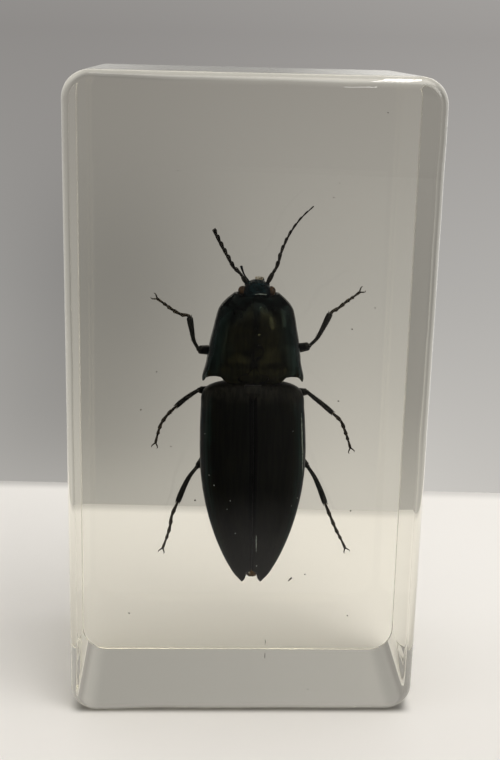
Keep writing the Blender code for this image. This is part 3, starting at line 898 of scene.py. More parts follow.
def makeHead():
    shape = newShape()
    angle = 2 * np.pi * np.arange(head["columns"]) / head["columns"]
    power = 2.0 / head["squareness"]
    across, lengthways = squarer(np.sin(angle), power), squarer(np.cos(angle), power)
    over = lengthways > 0
    hollow, hollowWide, hollowAt, hollowTall = head["hollow"]
    ridge, ridgeWide, ridgeAt, ridgeTall = head["ridge"]
    rows = []
    for height in np.linspace(head["heights"][0], head["heights"][-1], head["rows"]):
        sides, rise, depth = readAt(head, ("sides", "rise", "depth"), height)
        x = sides * across
        lift = np.where(over, rise, depth) * lengthways
        lift = lift - hollow * bump(x, hollowWide) * bump(height - hollowAt, hollowTall) * over
        lift = lift + ridge * bump(height - ridgeAt, ridgeTall) * over * np.clip(ridgeWide - np.abs(x), 0, 1)
        rows.append(bodyRow(middle(height) + x, lift, height))
    addGrid(shape, rows)
    centre = float(middle(50.0))
    addLimb(shape, [(centre + x, y, z) for x, y, z in head["lip"]], head["lipWidths"], 18, 12, 1.6)
    for side in (-1, 1):
        jaw = [(centre + side * x, y, z) for x, y, z in head["jaw"]]
        addLimb(shape, jaw, head["jawWidths"], 22, 12, 0.9)
        # the raised sockets of the antennae
        x, y, z = head["socket"]
        addBall(shape, (centre + side * x, y, z), head["socketSizes"], 18, 12)
    for palp in head["palps"]:
        course = [(centre + x, y, z) for x, y, z in palp]
        addLimb(shape, course, head["palpWidths"], 30, 10, start=0.6, end=0.6)
    for bristle in range(head["bristles"]):
        spread = draw.uniform(-head["bristleSpread"], head["bristleSpread"])
        depth = draw.uniform(*head["bristleDepths"])
        root = (centre + head["bristleSide"] + spread, depth, head["bristleFoot"])
        lean = 0.5 * spread + draw.uniform(-0.1, 0.1)
        tip = (root[0] + lean, root[1] - 0.1, draw.uniform(*head["bristleTops"]))
        addLimb(shape, (root, tip), head["bristleWidths"], 5, 5, tone=1)
    return makePiece("head", shape, [headShell, tuftSkin], ("head",), sharp=60.0)


def makeEyes():
    shape = newShape()
    for side in (-1, 1):
        centre = float(middle(head["eyeHeight"])) + side * head["eyeSide"]
        place = (centre, beetle["marginY"] + head["eyeDepth"], head["eyeHeight"])
        addBall(shape, place, head["eyeSizes"], 60, 44)
    return makePiece("eyes", shape, [eyeSkin])


makeHead()
makeEyes()


# The hind body: hind thorax and abdomen in one, with its plates, hips and the small shield
hind = {
    "heights": (13.62, 13.9, 14.4, 15.3, 16.5, 19.5, 22.5, 26.0, 29.5, 33.5, 36.4, 37.5, 38.1, 38.6),
    "sides": (0.34, 0.62, 1.10, 1.80, 2.58, 3.88, 4.74, 5.34, 5.50, 5.36, 5.08, 4.05, 3.30, 2.90),
    "rise": (0.16, 0.26, 0.50, 0.80, 1.10, 1.75, 2.25, 2.65, 2.85, 2.85, 2.60, 2.15, 1.80, 1.60),
    "depth": (0.40, 0.62, 0.90, 1.14, 1.40, 1.90, 2.30, 2.60, 2.80, 2.90, 2.80, 2.42, 2.05, 1.80),
    "plateEdges": (29.0, 25.6, 22.3, 19.2, 16.6),
    "plateStep": 0.13,  # each plate is proud at its hind edge and dips where the next one starts
    "plateFade": 0.7,
    "platesEnd": 30.2,
    "breastFrom": 30.6,
    "breastGroove": (0.10, 0.10, 37.0, 2.0),  # depth, half width, where it fades out in front
    # depth, side, how much they splay and from which height, width
    "breastSeams": (0.08, 3.6, 0.06, 34.0, 0.09),
    "centre": 0.80,
    "hips": (0.90, 2.90, 34.9),  # of the middle legs
    "hipSize": 0.62,
    "hipPlates": ((0.25, 3.02, 30.45), (1.7, 2.98, 30.7), (3.3, 2.45, 30.9)),  # of the hind legs
    "hipPlateWidths": (0.42, 0.52, 0.34),
    "shield": ((36.35, 0.10), (36.8, 0.55), (37.3, 0.90), (37.8, 1.02), (38.1, 0.92)),
    "shieldRamp": ((36.35, 37.2, 38.1), (3.22, 3.20, 2.86)),
    "shieldDome": 0.09,
    "shieldFoot": 2.0,
    "tail": ((0.0, 0.05, 15.4), (0.0, 0.0, 14.4), (0.06, 0.05, 13.70)),
    "tailWidths": (0.62, 0.52, 0.36),
    "tailBalls": (  # place, sizes and number of its material
        (-0.34, -0.05, 14.26, (0.15, 0.14, 0.14), 3),
        (0.22, -0.10, 13.95, (0.26, 0.20, 0.24), 1),
    ),
    "rows": 220,
    "columns": 96,
}


def makeHindBody():
    shape = newShape()
    angle = 2 * np.pi * np.arange(hind["columns"]) / hind["columns"]
    power = 2.0 / beetle["roundness"]
    around, lengthways = squarer(np.sin(angle), power), squarer(np.cos(angle), power)
    behind = np.maximum(-lengthways, 0.0)
    edges = np.array(hind["plateEdges"])
    groove, grooveWide, grooveTop, grooveFade = hind["breastGroove"]
    seam, seamSide, splay, splayFrom, seamWide = hind["breastSeams"]
    rows = []
    for height in np.linspace(hind["heights"][0], hind["heights"][-1], hind["rows"]):
        sides, rise, depth = readAt(hind, ("sides", "rise", "depth"), height)
        across = sides * around
        above = edges[edges <= height]
        step = 0.0
        if len(above) and height < hind["platesEnd"]:
            step = hind["plateStep"] * math.exp(-(height - above[0]) / hind["plateFade"])
        lift = np.where(lengthways > 0, rise, depth) * lengthways - step * behind
        if height > hind["breastFrom"]:
            fade = np.clip((grooveTop - height) / grooveFade, 0.0, 1.0)
            lift = lift + groove * bump(across, grooveWide) * behind * fade
            fromSeam = np.abs(across) - seamSide - splay * (height - splayFrom)
            lift = lift + seam * bump(fromSeam, seamWide) * behind
        rows.append(bodyRow(middle(height) + across, lift, height))
    addGrid(shape, rows)
    centre = hind["centre"]
    for side in (-1, 1):
        x, y, z = hind["hips"]
        addBall(shape, (centre + side * x, y, z), (hind["hipSize"],) * 3)
        plate = [(centre + side * x, y, z) for x, y, z in hind["hipPlates"]]
        addLimb(shape, plate, hind["hipPlateWidths"], 40, 18, 0.75)
    # the small shield between the roots of the wing cases, gently domed
    heights, halves = zip(*hind["shield"])
    share = np.linspace(-1.0, 1.0, 21)
    dome = hind["shieldDome"] * (1.0 - share ** 2)
    rows = []
    for height in np.linspace(heights[0], heights[-1], 26):
        half = float(glide(heights, halves, height))
        ramp = float(np.interp(height, *hind["shieldRamp"]))
        x = float(middle(height)) + half * share
        under = bodyRow(x[::-1], hind["shieldFoot"], height)
        rows.append(np.concatenate([bodyRow(x, ramp + dome, height), under]))
    addGrid(shape, rows, tone=2)
    # the last plate shows between the splayed tips of the wing cases, dried and ragged
    tip = float(middle(14.0)) + 0.10
    first = len(shape["points"])
    tail = [(tip + x, y, z) for x, y, z in hind["tail"]]
    addLimb(shape, tail, hind["tailWidths"], 30, 24, 0.45, 1.0, 0.8, 1)
    for x, y, z, sizes, tone in hind["tailBalls"]:
        addBall(shape, (tip + x, y, z), sizes, 18, 14, tone)
    roughen(shape, first, 0.16, 0.28)
    worn = [undersideSkin, tailSkin, wingShell, tuftSkin]
    return makePiece("hind_body", shape, worn, ("hind_body",), sharp=60.0)


makeHindBody()


# The legs: thigh from hip to knee, shin from knee to ankle, foot from ankle to the claws' root
legs = {
    "leg_front_left": {
        "thigh": ((-0.10, 4.00, 40.60), (-2.00, 3.75, 40.90), (-3.80, 2.85, 41.30), (-5.60, 1.40, 41.62)),
        "shin": ((-5.62, 1.40, 41.66), (-6.15, 1.50, 42.60), (-6.42, 1.62, 43.85), (-6.70, 1.80, 45.40)),
        "foot": ((-6.72, 1.80, 45.48), (-7.55, 1.90, 45.62), (-8.70, 2.05, 46.20), (-9.55, 2.20, 46.80),
                 (-10.50, 2.30, 47.45)),
    },
    "leg_front_right": {
        "thigh": ((1.80, 4.00, 40.60), (3.70, 3.75, 41.00), (5.50, 2.85, 41.60), (7.15, 1.40, 42.20)),
        "shin": ((7.20, 1.40, 42.24), (8.05, 1.50, 43.10), (8.65, 1.62, 44.20), (9.50, 1.80, 46.05)),
        "foot": ((9.55, 1.80, 46.10), (10.35, 1.95, 46.60), (11.45, 2.12, 47.50), (12.10, 2.22, 47.95),
                 (12.90, 2.30, 48.58)),
    },
    "leg_middle_left": {
        "thigh": ((-0.45, 4.15, 34.90), (-2.30, 3.95, 35.60), (-4.10, 3.00, 36.30), (-5.45, 1.50, 36.80)),
        "shin": ((-5.50, 1.50, 36.78), (-6.55, 1.58, 36.07), (-7.36, 1.68, 35.42), (-8.15, 1.85, 34.65)),
        "foot": ((-8.22, 1.85, 34.58), (-9.12, 1.95, 33.65), (-9.95, 2.08, 32.35), (-10.30, 2.20, 31.20),
                 (-10.58, 2.30, 29.98)),
    },
    "leg_middle_right": {
        "thigh": ((2.15, 4.15, 34.90), (4.00, 3.95, 35.60), (5.80, 3.00, 36.25), (7.10, 1.50, 36.70)),
        "shin": ((7.15, 1.50, 36.66), (8.36, 1.58, 35.68), (9.33, 1.68, 34.90), (10.25, 1.85, 34.08)),
        "foot": ((10.30, 1.85, 34.02), (11.25, 1.95, 33.12), (11.90, 2.08, 31.70), (12.25, 2.20, 30.75),
                 (12.62, 2.30, 29.60)),
    },
    "leg_hind_left": {
        "thigh": ((-0.70, 4.15, 30.60), (-2.50, 3.95, 29.60), (-4.30, 3.05, 28.40), (-5.60, 1.60, 27.30)),
        "shin": ((-5.65, 1.60, 27.22), (-6.50, 1.64, 26.05), (-7.15, 1.72, 24.70), (-7.88, 1.85, 22.75)),
        "foot": ((-7.92, 1.85, 22.65), (-8.58, 1.95, 20.95), (-8.82, 2.08, 19.40), (-9.15, 2.20, 18.20),
                 (-9.68, 2.30, 16.62)),
    },
    "leg_hind_right": {
        "thigh": ((2.40, 4.15, 30.60), (4.20, 3.95, 29.70), (6.00, 3.05, 28.60), (7.50, 1.60, 27.50)),
        "shin": ((7.55, 1.60, 27.42), (8.36, 1.64, 26.20), (9.05, 1.72, 24.75), (9.84, 1.85, 22.70)),
        "foot": ((9.88, 1.85, 22.60), (10.62, 1.95, 20.85), (11.35, 2.08, 19.20), (11.95, 2.20, 18.05),
                 (12.55, 2.30, 16.80)),
    },
}
legBuild = {
    "thighWidths": (0.36, 0.56, 0.62, 0.58),  # half widths from the hip, and then the knee's
    "kneeWidths": {"front": 0.50, "middle": 0.40, "hind": 0.36},
    "shinWidths": {
        "front": (0.20, 0.21, 0.25, 0.30, 0.36, 0.37),
        "middle": (0.22, 0.25, 0.27, 0.29, 0.31, 0.30),
        "hind": (0.21, 0.24, 0.28, 0.32, 0.35, 0.33),
    },
    "kneeSizes": (0.26, 0.24, 0.26),
    "spurAside": 0.18,
    "spurLength": 0.30,
    "spurWidths": (0.055, 0.045, 0.012),
    "footJoints": (  # where each starts and ends along the foot, and its half width
        (0.0, 0.30, 0.21), (0.26, 0.50, 0.21), (0.46, 0.67, 0.20), (0.63, 0.80, 0.18), (0.76, 1.0, 0.16),
    ),
    "jointWidths": np.array((0.72, 0.76, 0.88, 1.06, 0.92)),
    "lobeSizes": np.array((0.80, 0.75, 0.80)),  # a soft lobe under the far end of all joints but the last
    "footCore": 0.115,
    "footRoot": 0.22,  # the foot starts this far inside the shin
    "clawReach": 0.62,
    "clawSpread": 0.36,
    "clawWidths": (0.095, 0.085, 0.060, 0.018),
    "clawDip": (0, 0.12, 0),
    "bristlesPerShin": 26,
    "bristleAside": 0.20,
    "bristleWidths": (0.020, 0.014, 0.004),
}


def addBristle(shape, root, onward, sideways, length):
    root = np.asarray(root)
    tip = root + length * (0.75 * onward + 0.65 * sideways)
    addLimb(shape, (root, tip), legBuild["bristleWidths"], 4, 4)


def makeLeg(name, course):
    pair = name.split("_")[1]
    knee = legBuild["kneeWidths"][pair]
    shape = newShape()
    addLimb(shape, course["thigh"], (*legBuild["thighWidths"], knee), 48, 22, 0.78, end=0.5)
    addLimb(shape, course["shin"], legBuild["shinWidths"][pair], 56, 20, 0.62, end=0.45)
    addBall(shape, course["shin"][0], legBuild["kneeSizes"], 18, 12)
    ankle = np.array(course["shin"][-1])
    down = unit(ankle - np.array(course["shin"][-2]))
    out = unit(np.cross(down, inward))
    for side in (-1, 1):
        root = ankle + legBuild["spurAside"] * side * out
        tip = root + legBuild["spurLength"] * (0.8 * down + 0.35 * side * out)
        addLimb(shape, (root - 0.1 * down, tip), legBuild["spurWidths"], 8, 8)
    foot = [ankle - legBuild["footRoot"] * down, *(np.array(point) for point in course["foot"])]
    addLimb(shape, foot, (legBuild["footCore"],) * 3, 44, 10, tone=1)
    for first, last, width in legBuild["footJoints"]:
        part = alongCourse(foot, np.linspace(first, last, 5))
        addLimb(shape, part, width * legBuild["jointWidths"], 24, 14, 0.85, 0.6, 0.6, 1)
        if last < 0.9:
            under = np.cross(unit(part[-1] - part[-3]), inward)
            under *= 1.0 if under[2] < 0 else -1.0
            place = part[-2] + 0.5 * width * under + np.array((0.0, 0.08, 0.0))
            addBall(shape, place, width * legBuild["lobeSizes"], 14, 10, 1)
    end = foot[-1]
    onward = unit(end - foot[-2])
    sideways = np.cross(onward, inward)
    reach = legBuild["clawReach"]
    for side in (-1, 1):
        spread = side * legBuild["clawSpread"] * sideways
        claw = (
            end - 0.10 * onward,
            end + 0.30 * reach * onward + 0.62 * spread,
            end + 0.72 * reach * onward + spread,
            end + reach * onward + 0.80 * spread + np.array(legBuild["clawDip"]),
        )
        addLimb(shape, claw, legBuild["clawWidths"], 20, 10, tone=1)
    for bristle in range(legBuild["bristlesPerShin"]):
        place = alongCourse(course["shin"], [draw.uniform(0.25, 0.97)])[0]
        side = draw.choice((-1, 1))
        root = place + legBuild["bristleAside"] * side * out
        addBristle(shape, root, down, side * out, draw.uniform(0.16, 0.30))
    return makePiece(name, shape, [legSkin, footSkin], (name,), sharp=60.0)


for legName, legCourse in legs.items():
    makeLeg(legName, legCourse)


# The antennae: courses from socket to tip, number of joints, width of the first saw joint and of the last
antennae = {
    "antenna_left": {
        "course": ((-0.22, 0.80, 49.50), (-1.02, 0.92, 50.66), (-1.60, 1.00, 51.15), (-2.50, 1.05, 52.60),
                   (-3.45, 1.10, 54.30), (-4.12, 1.15, 55.62)),
        "joints": 9, "width": 0.25, "lastWidth": 0.25, "blunt": True,  # broken off after its ninth joint
    },
    "antenna_right": {
        "course": ((2.08, 0.80, 49.50), (2.74, 0.92, 50.78), (3.14, 1.00, 51.45), (3.63, 1.05, 53.19),
                   (4.57, 1.10, 55.35), (5.86, 1.15, 57.17), (7.12, 1.20, 58.38)),
        "joints": 11, "width": 0.24, "lastWidth": 0.085, "blunt": False,
    },
}
antennaBuild = {
    "stops": (0.0, 0.13, 0.18),  # a stout first joint and a short second one, then the flat saw joints
    "stoutWidths": (0.17, 0.25, 0.28, 0.26, 0.20),
    "shortWidths": (0.15, 0.19, 0.17),
    "overlap": 0.014,
    "sawWidths": np.array((0.62, 0.72, 0.88, 1.0, 0.80)),
    "sawLean": np.array((0.0, 0.1, 0.5, 1.0, 0.5)),  # the far end of a saw joint leans to its front side
    "sawTooth": 0.22,
    "sawFlat": 0.62,
    "roundEnd": 0.5,
    "brokenEnd": 0.12,
}


def makeAntenna(name):
    look = antennae[name]
    side = -1 if name.endswith("left") else 1
    shape = newShape()
    count = look["joints"]
    sawStops = np.linspace(antennaBuild["stops"][-1], 1.0, count - 1)[1:]
    stops = np.concatenate((antennaBuild["stops"], sawStops))
    for index in range(count):
        last = min(stops[index + 1] + antennaBuild["overlap"], 1.0)
        part = alongCourse(look["course"], np.linspace(stops[index], last, 5))
        if index == 0:
            addLimb(shape, part, antennaBuild["stoutWidths"], 24, 16, 0.9)
            continue
        if index == 1:
            addLimb(shape, part, antennaBuild["shortWidths"], 14, 14, 0.9)
            continue
        width = np.interp(index, (2, count - 1), (look["width"], look["lastWidth"]))
        tooth = np.cross(unit(part[-1] - part[0]), inward) * side * antennaBuild["sawTooth"] * width
        part = part + np.outer(antennaBuild["sawLean"], tooth)
        broken = look["blunt"] and index == count - 1
        end = antennaBuild["brokenEnd"] if broken else antennaBuild["roundEnd"]
        addLimb(shape, part, antennaBuild["sawWidths"] * width, 24, 16, antennaBuild["sawFlat"], 0.4, end)
    return makePiece(name, shape, [antennaSkin], (name,), sharp=60.0)


for antennaName in antennae:
    makeAntenna(antennaName)


# Specks of dust caught in the resin: places and half lengths
dust = {
    "specks": (
        (-8.1, -4.0, 62.4, 0.05), (15.0, 2.0, 68.8, 0.07), (9.3, -7.0, 61.6, 0.05), (9.6, 5.0, 59.1, 0.05),
        (14.3, -2.0, 47.3, 0.06), (12.3, 4.0, 43.9, 0.08), (-10.3, -5.0, 40.0, 0.06),
        (-12.4, 6.0, 33.4, 0.08),
        (-8.7, 0.0, 30.1, 0.07), (10.3, -6.0, 37.0, 0.09), (12.7, -1.0, 22.5, 0.10), (-5.8, 3.0, 22.7, 0.08),
        (7.9, 5.0, 12.6, 0.09), (-13.5, -4.0, 10.0, 0.11), (12.4, -7.0, 10.7, 0.08), (8.0, -8.0, 1.3, 0.07),
    ),
    "shred": ((5.45, -3.0, 13.95), (5.62, -2.95, 14.15), (5.86, -3.0, 14.42)),
    "shredWidth": 0.10,
    "fibreWidth": 0.04,
    "fibre": ((3.50, 12.80, 0.55), (3.54, 12.81, 0.95), (3.50, 12.80, 1.35)),
}


def makeDust():
    shape = newShape()
    for x, y, z, size in dust["specks"]:
        first = len(shape["points"])
        sizes = (size * draw.uniform(0.7, 1.3), size, size * draw.uniform(0.7, 1.3))
        addBall(shape, (x, y, z), sizes, 12, 9)
        roughen(shape, first, 0.6 * size, 0.8 * size)
    for course, width in ((dust["shred"], dust["shredWidth"]), (dust["fibre"], dust["fibreWidth"])):
        first = len(shape["points"])
        addLimb(shape, course, (0.6 * width, width, 0.7 * width), 20, 10)
        roughen(shape, first, 0.6 * width, 1.5 * width)
    return makePiece("dust_specks", shape, [dustSkin])


makeDust()


# Pale flecks that lie on the shell, and pale slivers laid on it as painted highlights: side, height and half
# length
flecks = {
    "onWings": (
        (-5.25, 35.9, 0.0675), (-5.60, 32.0, 0.0525), (4.90, 35.2, 0.0825), (5.15, 35.3, 0.0525),
        (4.60, 32.6, 0.045), (-5.15, 27.0, 0.06), (-4.55, 25.8, 0.075), (-2.65, 24.0, 0.06),
        (-3.00, 22.9, 0.075), (-2.00, 19.8, 0.075), (5.30, 24.1, 0.06), (4.60, 23.2, 0.06),
        (0.60, 15.4, 0.075),
    ),
    "thickness": 0.03,
    "paintedGlints": (  # painted highlights on the wing cases: heights of both ends, side at both ends and half width
        (34.6, 26.8, 5.62, 5.86, 0.085), (19.6, 17.4, 0.48, 0.52, 0.055),
    ),
    "paintedGlintWidths": np.array((0.3, 1.0, 1.0, 0.8, 0.3)),
    # a painted highlight: the glint where the head meets the thorax plate
    "paintedHeadGlint": ((0.60, -1.02, 48.50), (1.30, -1.12, 48.56), (2.00, -1.00, 48.50)),
    "paintedHeadGlintWidths": (0.03, 0.06, 0.03),
}


def onWing(side, height):
    # the place on a wing case's surface at this side and height
    outer, rise = readAt(wing, ("outer", "rise"), height)
    power = beetle["roundness"]
    lift = rise * max(1.0 - (abs(side) / outer) ** power, 0.0) ** (1.0 / power)
    return float(middle(height)) + side, beetle["marginY"] - lift, height


def makeFlecks():
    shape = newShape()
    for side, height, size in flecks["onWings"]:
        first = len(shape["points"])
        sizes = (size, flecks["thickness"], size * draw.uniform(0.6, 1.0))
        addBall(shape, onWing(side, height), sizes, 12, 9)
        roughen(shape, first, 0.6 * size, 0.8 * size)
    # pale slivers along the wing cases, as painted highlights
    for top, foot, topSide, footSide, width in flecks["paintedGlints"]:
        course = []
        for share in np.linspace(0.0, 1.0, 9):
            course.append(onWing(topSide + (footSide - topSide) * share, top + (foot - top) * share))
        first = len(shape["points"])
        addLimb(shape, course, width * flecks["paintedGlintWidths"], 60, 10, 0.5)
        roughen(shape, first, 0.4 * width, 0.5)
    # the painted highlight on the head
    addLimb(shape, flecks["paintedHeadGlint"], flecks["paintedHeadGlintWidths"], 20, 10, 0.6)
    return makePiece("pale_flecks_and_glints", shape, [paleFleckGlintSkin])


makeFlecks()


# Stage, light and camera, none of them part of the object
studio = {
    "floorDrop": 0.05,  # air under the base, which keeps its mirror
    "floorFront": -93.0,
    "floorBack": 62.1,
    "floorBackSoft": 4.0,  # over this depth towards its far edge the table is painted into the tone of the wall, as painted shade of a rounded edge
    "floorBackSlope": -0.046,
    "floorWide": 900.0,
    "floorThick": 18.0,
    "frontReach": 900.0,
    "wallRadius": 620.0,
    "farWallTop": 520.0,
    "nearWallTop": 230.0,
    "wallFoot": -620.0,
    "ceiling": 0.92,
    "ceilingColor": (1.0, 0.985, 0.96),
    "besideColor": (0.035, 0.034, 0.033),  # below the ceiling the surroundings are dark
    "ceilingFrom": (0.22, 0.42),  # how steeply up it starts and is full
    "frontHangs": 0.35,  # its front starts at steeper angles
}
# Ranges here are from and to, in metres, and then the values there
tableLook = {
    "light": (0.90, 0.88, 0.85),
    "dark": (0.86, 0.835, 0.80),
    "clouds": 9.0,
    "rough": 0.6,
    "gloss": 0.2,
    # painted light: the table is painted a little brighter from front to back
    "frontToBack": (-0.07, 0.06, 0.93, 1.0),
    "farEdgeShade": (-0.12, 0.06, 0.52, 0.76),  # the painted shade into which the far edge fades, left to right
    # painted shade in reflections: in the block's mirrored images the table is painted darker, fading out
    # towards the dark front of the studio
    "inFaces": (-0.088, -0.048, 0.96, 0.42),
    "inFacesEnds": (-0.020, 0.0, 1.0, 0.0),
    "inFacesAcross": (-0.14, 0.14, 0.35, -0.30),  # more so on the left, less on the right
    "acrossEnds": -0.012,
    "inEdges": (-0.12, -0.06, 0.67, 0.0),
    "gapAcross": (0.0185, 0.0205, 1.0, 0.0),  # the gap under the block lies in its own shade
    "gapDeep": (0.0120, 0.0136, 1.0, 0.0),
    "underBlock": 0.35,  # how bright the table stays there
}
wallLook = {
    "heights": (-0.40, 0.20),
    "stops": (
        (0.0, (0.50, 0.485, 0.46)), (0.33, (0.46, 0.445, 0.42)), (0.55, (0.36, 0.35, 0.335)),
        (0.8, (0.28, 0.268, 0.258)), (1.0, (0.37, 0.36, 0.345)),
    ),
    "leftToRight": (-0.15, 0.25, 0.97, 1.22),
    # soft patches of painted light and shade on the far wall: place, size and how much brighter or darker
    "patches": (
        (-0.058, -0.077, 0.070, 0.085, -0.30), (-0.085, -0.165, 0.070, 0.055, -0.18),
        (0.098, -0.205, 0.060, 0.075, 0.13),
    ),
    "inFaces": 0.03,  # painted reflection: the near wall is this dark in the block's flat faces
    "inFacesEnds": (-0.16, -0.02, 1.0, 0.0),
    "inEdges": 0.27,  # and painted this bright where its ground edges send the view back
    "overTop": (0.86, 0.54, 1.30),  # brightness, left to right, of the painted reflection in the top face
    "overTopSteps": ((-0.09, -0.01), (0.03, 0.13)),
}


def stageMesh(name, points, faces, material):
    mesh = bpy.data.meshes.new(name)
    mesh.from_pydata([Vector(point) * mm for point in points], [], faces)
    mesh.materials.append(material)
    thing = addToScene(name, mesh)


def addMirrorMasks(tree):
    # what is seen by one mirrored bounce, in the block's flat faces, and by more, in its ground edges
    bounces = tree.nodes.new("ShaderNodeLightPath").outputs["Glossy Depth"]
    many = addMath(tree, "GREATER_THAN", bounces, 1.5)
    return addMath(tree, "SUBTRACT", addMath(tree, "GREATER_THAN", bounces, 0.5), many), many


def makeTableFinish():
    material, tree, shader = newMaterial("pale table")
    cloud = addRange(tree, addNoise(tree, tableLook["clouds"], 2.0), 0.3, 0.7)
    color = addMix(tree, cloud, tableLook["light"], tableLook["dark"])
    once, many = addMirrorMasks(tree)
    place = addSplit(tree, addPlace(tree))
    side, depth = place["X"], place["Y"]
    # painted light: a little brighter towards the back
    color = scaled(tree, color, addRange(tree, depth, *tableLook["frontToBack"]))
    # painted shade: the table darkens into the wall's tone at its far edge
    toEdge = plus(tree, depth, times(tree, side, -studio["floorBackSlope"]))
    toEdge = addMath(tree, "SUBTRACT", studio["floorBack"] * mm, toEdge)
    edgeShade = addRange(tree, side, *tableLook["farEdgeShade"])
    color = scaled(tree, color, addRange(tree, toEdge, 0.0, studio["floorBackSoft"] * mm, edgeShade, 1.0))
    # painted shade, seen only in the block's mirrored images
    inFaces = times(tree, addRange(tree, depth, *tableLook["inFaces"]), once)
    inFaces = times(tree, addRange(tree, depth, *tableLook["inFacesEnds"]), inFaces)
    across = times(tree, addRange(tree, side, *tableLook["inFacesAcross"]), once)
    across = times(tree, addMath(tree, "LESS_THAN", depth, tableLook["acrossEnds"]), across)
    inFaces = plus(tree, inFaces, across, clamp=True)
    inEdges = times(tree, addRange(tree, depth, *tableLook["inEdges"]), many)
    color = addMix(tree, plus(tree, inFaces, inEdges), color, (0.0, 0.0, 0.0))
    aside = addRange(tree, addMath(tree, "ABSOLUTE", side), *tableLook["gapAcross"])
    deep = addRange(tree, addMath(tree, "ABSOLUTE", depth), *tableLook["gapDeep"])
    shade = times(tree, times(tree, aside, deep), 1.0 - tableLook["underBlock"])
    color = addMix(tree, shade, color, (0.0, 0.0, 0.0))
    tree.links.new(color, shader.inputs["Base Color"])
    shader.inputs["Roughness"].default_value = tableLook["rough"]
    shader.inputs["Specular IOR Level"].default_value = tableLook["gloss"]
    return material


def addPatch(tree, place, patch):
    # 1 plus the patch's gain in its middle, 1 far from it
    x, z, wide, tall, gain = patch
    aside = addMath(tree, "DIVIDE", addMath(tree, "SUBTRACT", place["X"], x), wide)
    above = addMath(tree, "DIVIDE", addMath(tree, "SUBTRACT", place["Z"], z), tall)
    square = plus(tree, times(tree, aside, aside), times(tree, above, above))
    bell = addMath(tree, "EXPONENT", times(tree, square, -1.0))
    return plus(tree, times(tree, bell, gain), 1.0)


def makeWallFinish(name, near):
    # a wall that glows softly, its glow painted light: darker high up, brighter low down and to the right
    material, tree, shader = newMaterial(name)
    place = addSplit(tree, addPlace(tree))
    height = tree.nodes.new("ShaderNodeMapRange")
    height.inputs["From Min"].default_value, height.inputs["From Max"].default_value = wallLook["heights"]
    tree.links.new(place["Z"], height.inputs["Value"])
    rise = tree.nodes.new("ShaderNodeValToRGB")
    tree.links.new(height.outputs["Result"], rise.inputs["Fac"])
    ramp = rise.color_ramp.elements
    ramp.remove(ramp[1])
    for stop, color in wallLook["stops"]:
        element = ramp.new(stop) if stop else ramp[0]
        element.color = withAlpha(color)
    level = addRange(tree, place["X"], *wallLook["leftToRight"])
    if not near:
        for patch in wallLook["patches"]:
            level = times(tree, level, addPatch(tree, place, patch))
    glow = scaled(tree, rise.outputs["Color"], level)
    if near:
        # painted reflections: the near wall is painted dark in the block's flat faces and bright in its
        # ground edges
        once, many = addMirrorMasks(tree)
        once = times(tree, once, addRange(tree, place["Y"], *wallLook["inFacesEnds"]))
        glow = addMix(tree, once, glow, (wallLook["inFaces"],) * 3)
        glow = addMix(tree, many, glow, (wallLook["inEdges"],) * 3)
    else:
        # painted reflection: the far wall is painted brighter where the top face mirrors it
        path = tree.nodes.new("ShaderNodeLightPath").outputs
        outside = addMath(tree, "LESS_THAN", path["Transmission Depth"], 0.5)
        overTop = times(tree, addMath(tree, "GREATER_THAN", path["Glossy Depth"], 0.5), outside)
        warm = [(tone, 0.98 * tone, 0.93 * tone) for tone in wallLook["overTop"]]
        toMiddle, toRight = (addRange(tree, place["X"], *step) for step in wallLook["overTopSteps"])
        mirrored = addMix(tree, toRight, addMix(tree, toMiddle, warm[0], warm[1]), warm[2])
        glow = addMix(tree, overTop, glow, mirrored)
    feed(tree, (0.0, 0.0, 0.0), shader.inputs["Base Color"])
    shader.inputs["Specular IOR Level"].default_value = 0.0
    tree.links.new(glow, shader.inputs["Emission Color"])
    shader.inputs["Emission Strength"].default_value = 1.0
    return material


def makeStage():
    table = makeTableFinish()
    wide = studio["floorWide"]
    top = -studio["floorDrop"]
    foot = top - studio["floorThick"]
    front = studio["floorFront"]
    backLeft = studio["floorBack"] - studio["floorBackSlope"] * wide
    backRight = studio["floorBack"] + studio["floorBackSlope"] * wide
    corners = ((-wide, front), (wide, front), (wide, backRight), (-wide, backLeft))
    points = [(x, y, z) for z in (top, foot) for x, y in corners]
    faces = [(0, 1, 2, 3), (7, 6, 5, 4), (1, 0, 4, 5), (2, 1, 5, 6), (3, 2, 6, 7), (0, 3, 7, 4)]
    stageMesh("table", points, faces, table)
    far = front - studio["frontReach"]
    near = front - 0.01
    points = [(-wide, far, top), (wide, far, top), (wide, near, top), (-wide, near, top)]
    stageMesh("table_near", points, [(0, 1, 2, 3)], table)
    # the wall is a ring in two halves, one behind the block and one in front of it
    radius, steps = studio["wallRadius"], 48
    for name, start, near in (("wall_far", 0.0, False), ("wall_near", math.pi, True)):
        turns = [start + math.pi * step / steps for step in range(steps + 1)]
        heights = (studio["wallFoot"], studio["nearWallTop"] if near else studio["farWallTop"])
        points = [(radius * math.cos(a), radius * math.sin(a), z) for z in heights for a in turns]
        count = steps + 1
        faces = [(k + 1, k, count + k, count + k + 1) for k in range(steps)]
        stageMesh(name, points, faces, makeWallFinish(name + "_paint", near))


def makeSky():
    # the bright ceiling of the studio
    world = bpy.data.worlds.new("ceiling")
    world.use_nodes = True
    tree = world.node_tree
    glow = tree.nodes["Background"]
    ahead = addSplit(tree, tree.nodes.new("ShaderNodeTexCoord").outputs["Generated"])
    front = times(tree, addMath(tree, "MINIMUM", ahead["Y"], 0.0), studio["frontHangs"])
    level = addRange(tree, plus(tree, ahead["Z"], front), *studio["ceilingFrom"])
    color = addMix(tree, level, studio["besideColor"], studio["ceilingColor"])
    tree.links.new(color, glow.inputs["Color"])
    glow.inputs["Strength"].default_value = studio["ceiling"]
    bpy.context.scene.world = world


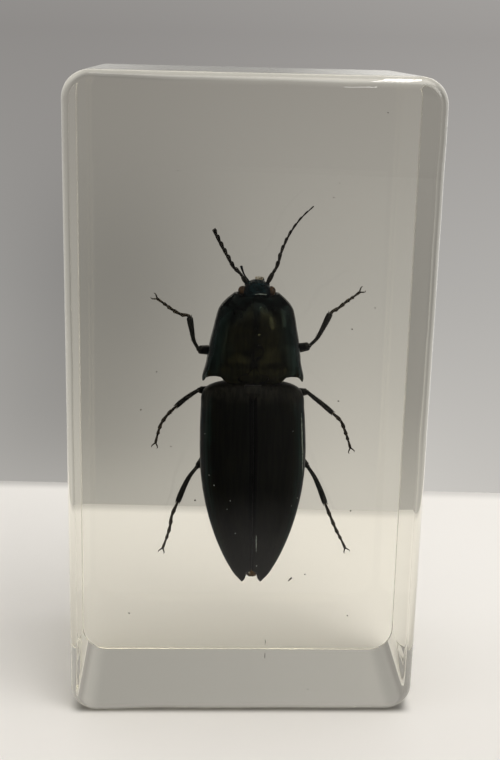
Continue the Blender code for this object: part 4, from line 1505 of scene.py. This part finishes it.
# Places, sizes and aims in millimetres, power in watts, spread of the beam in degrees
lamps = {
    "overhead": {"place": (160, -160, 520), "size": (420, 360), "power": 0.80, "aim": (0, 0, 0)},
    "window": {"place": (430, -380, 330), "size": (200, 240), "power": 0.42, "aim": (0, 0, 36)},
    # a small one in front, for the glints on the thorax plate; its narrow beam misses the top rim
    "glint": {"place": (74, -500, 112), "size": (14, 90), "power": 4.8e-5, "aim": (0, 0, 45), "spread": 5},
    # a long narrow one that shines straight down, for the streak on the top edge
    "streak": {"place": (108, -150, 620), "size": (35, 400), "power": 0.44, "aim": None},
}


def makeLamps():
    for name, look in lamps.items():
        lamp = bpy.data.lights.new(name, "AREA")
        lamp.shape = "RECTANGLE"
        lamp.size, lamp.size_y = (side * mm for side in look["size"])
        lamp.energy = look["power"]
        lamp.spread = math.radians(look.get("spread", 180))
        lamp.color = (1.0, 0.98, 0.95)
        holder = addToScene(name, lamp)
        holder.location = Vector(look["place"]) * mm
        if look["aim"]:
            aim = Vector(look["aim"]) * mm - holder.location
            holder.rotation_euler = aim.to_track_quat("-Z", "Y").to_euler()


view = {
    "place": (-5.88, -140.04, 76.14),  # millimetres
    "turn": -2.649,  # degrees to the right of straight ahead
    "tilt": 15.62,  # degrees down
    "roll": 1.405,
    "lens": 57.52,
    "sensor": 36.0,
}


def makeCamera():
    turn, tilt, roll = (math.radians(view[key]) for key in ("turn", "tilt", "roll"))
    ahead = Vector((-math.sin(turn) * math.cos(tilt), math.cos(turn) * math.cos(tilt), -math.sin(tilt)))
    right = Vector((math.cos(turn), math.sin(turn), 0.0))
    up = right.cross(ahead)
    rolledRight = math.cos(roll) * right + math.sin(roll) * up
    rolledUp = -math.sin(roll) * right + math.cos(roll) * up
    lens = bpy.data.cameras.new("camera")
    lens.lens = view["lens"]
    lens.sensor_width = view["sensor"]
    lens.sensor_fit = "AUTO"
    lens.clip_start = 0.01
    camera = addToScene("camera", lens)
    turned = Matrix((rolledRight, rolledUp, -ahead)).transposed().to_4x4()
    camera.matrix_world = Matrix.Translation(Vector(view["place"]) * mm) @ turned
    bpy.context.scene.camera = camera


makeStage()
makeSky()
makeLamps()
makeCamera()
bpy.context.scene.view_settings.view_transform = "Standard"
print("stage ready")
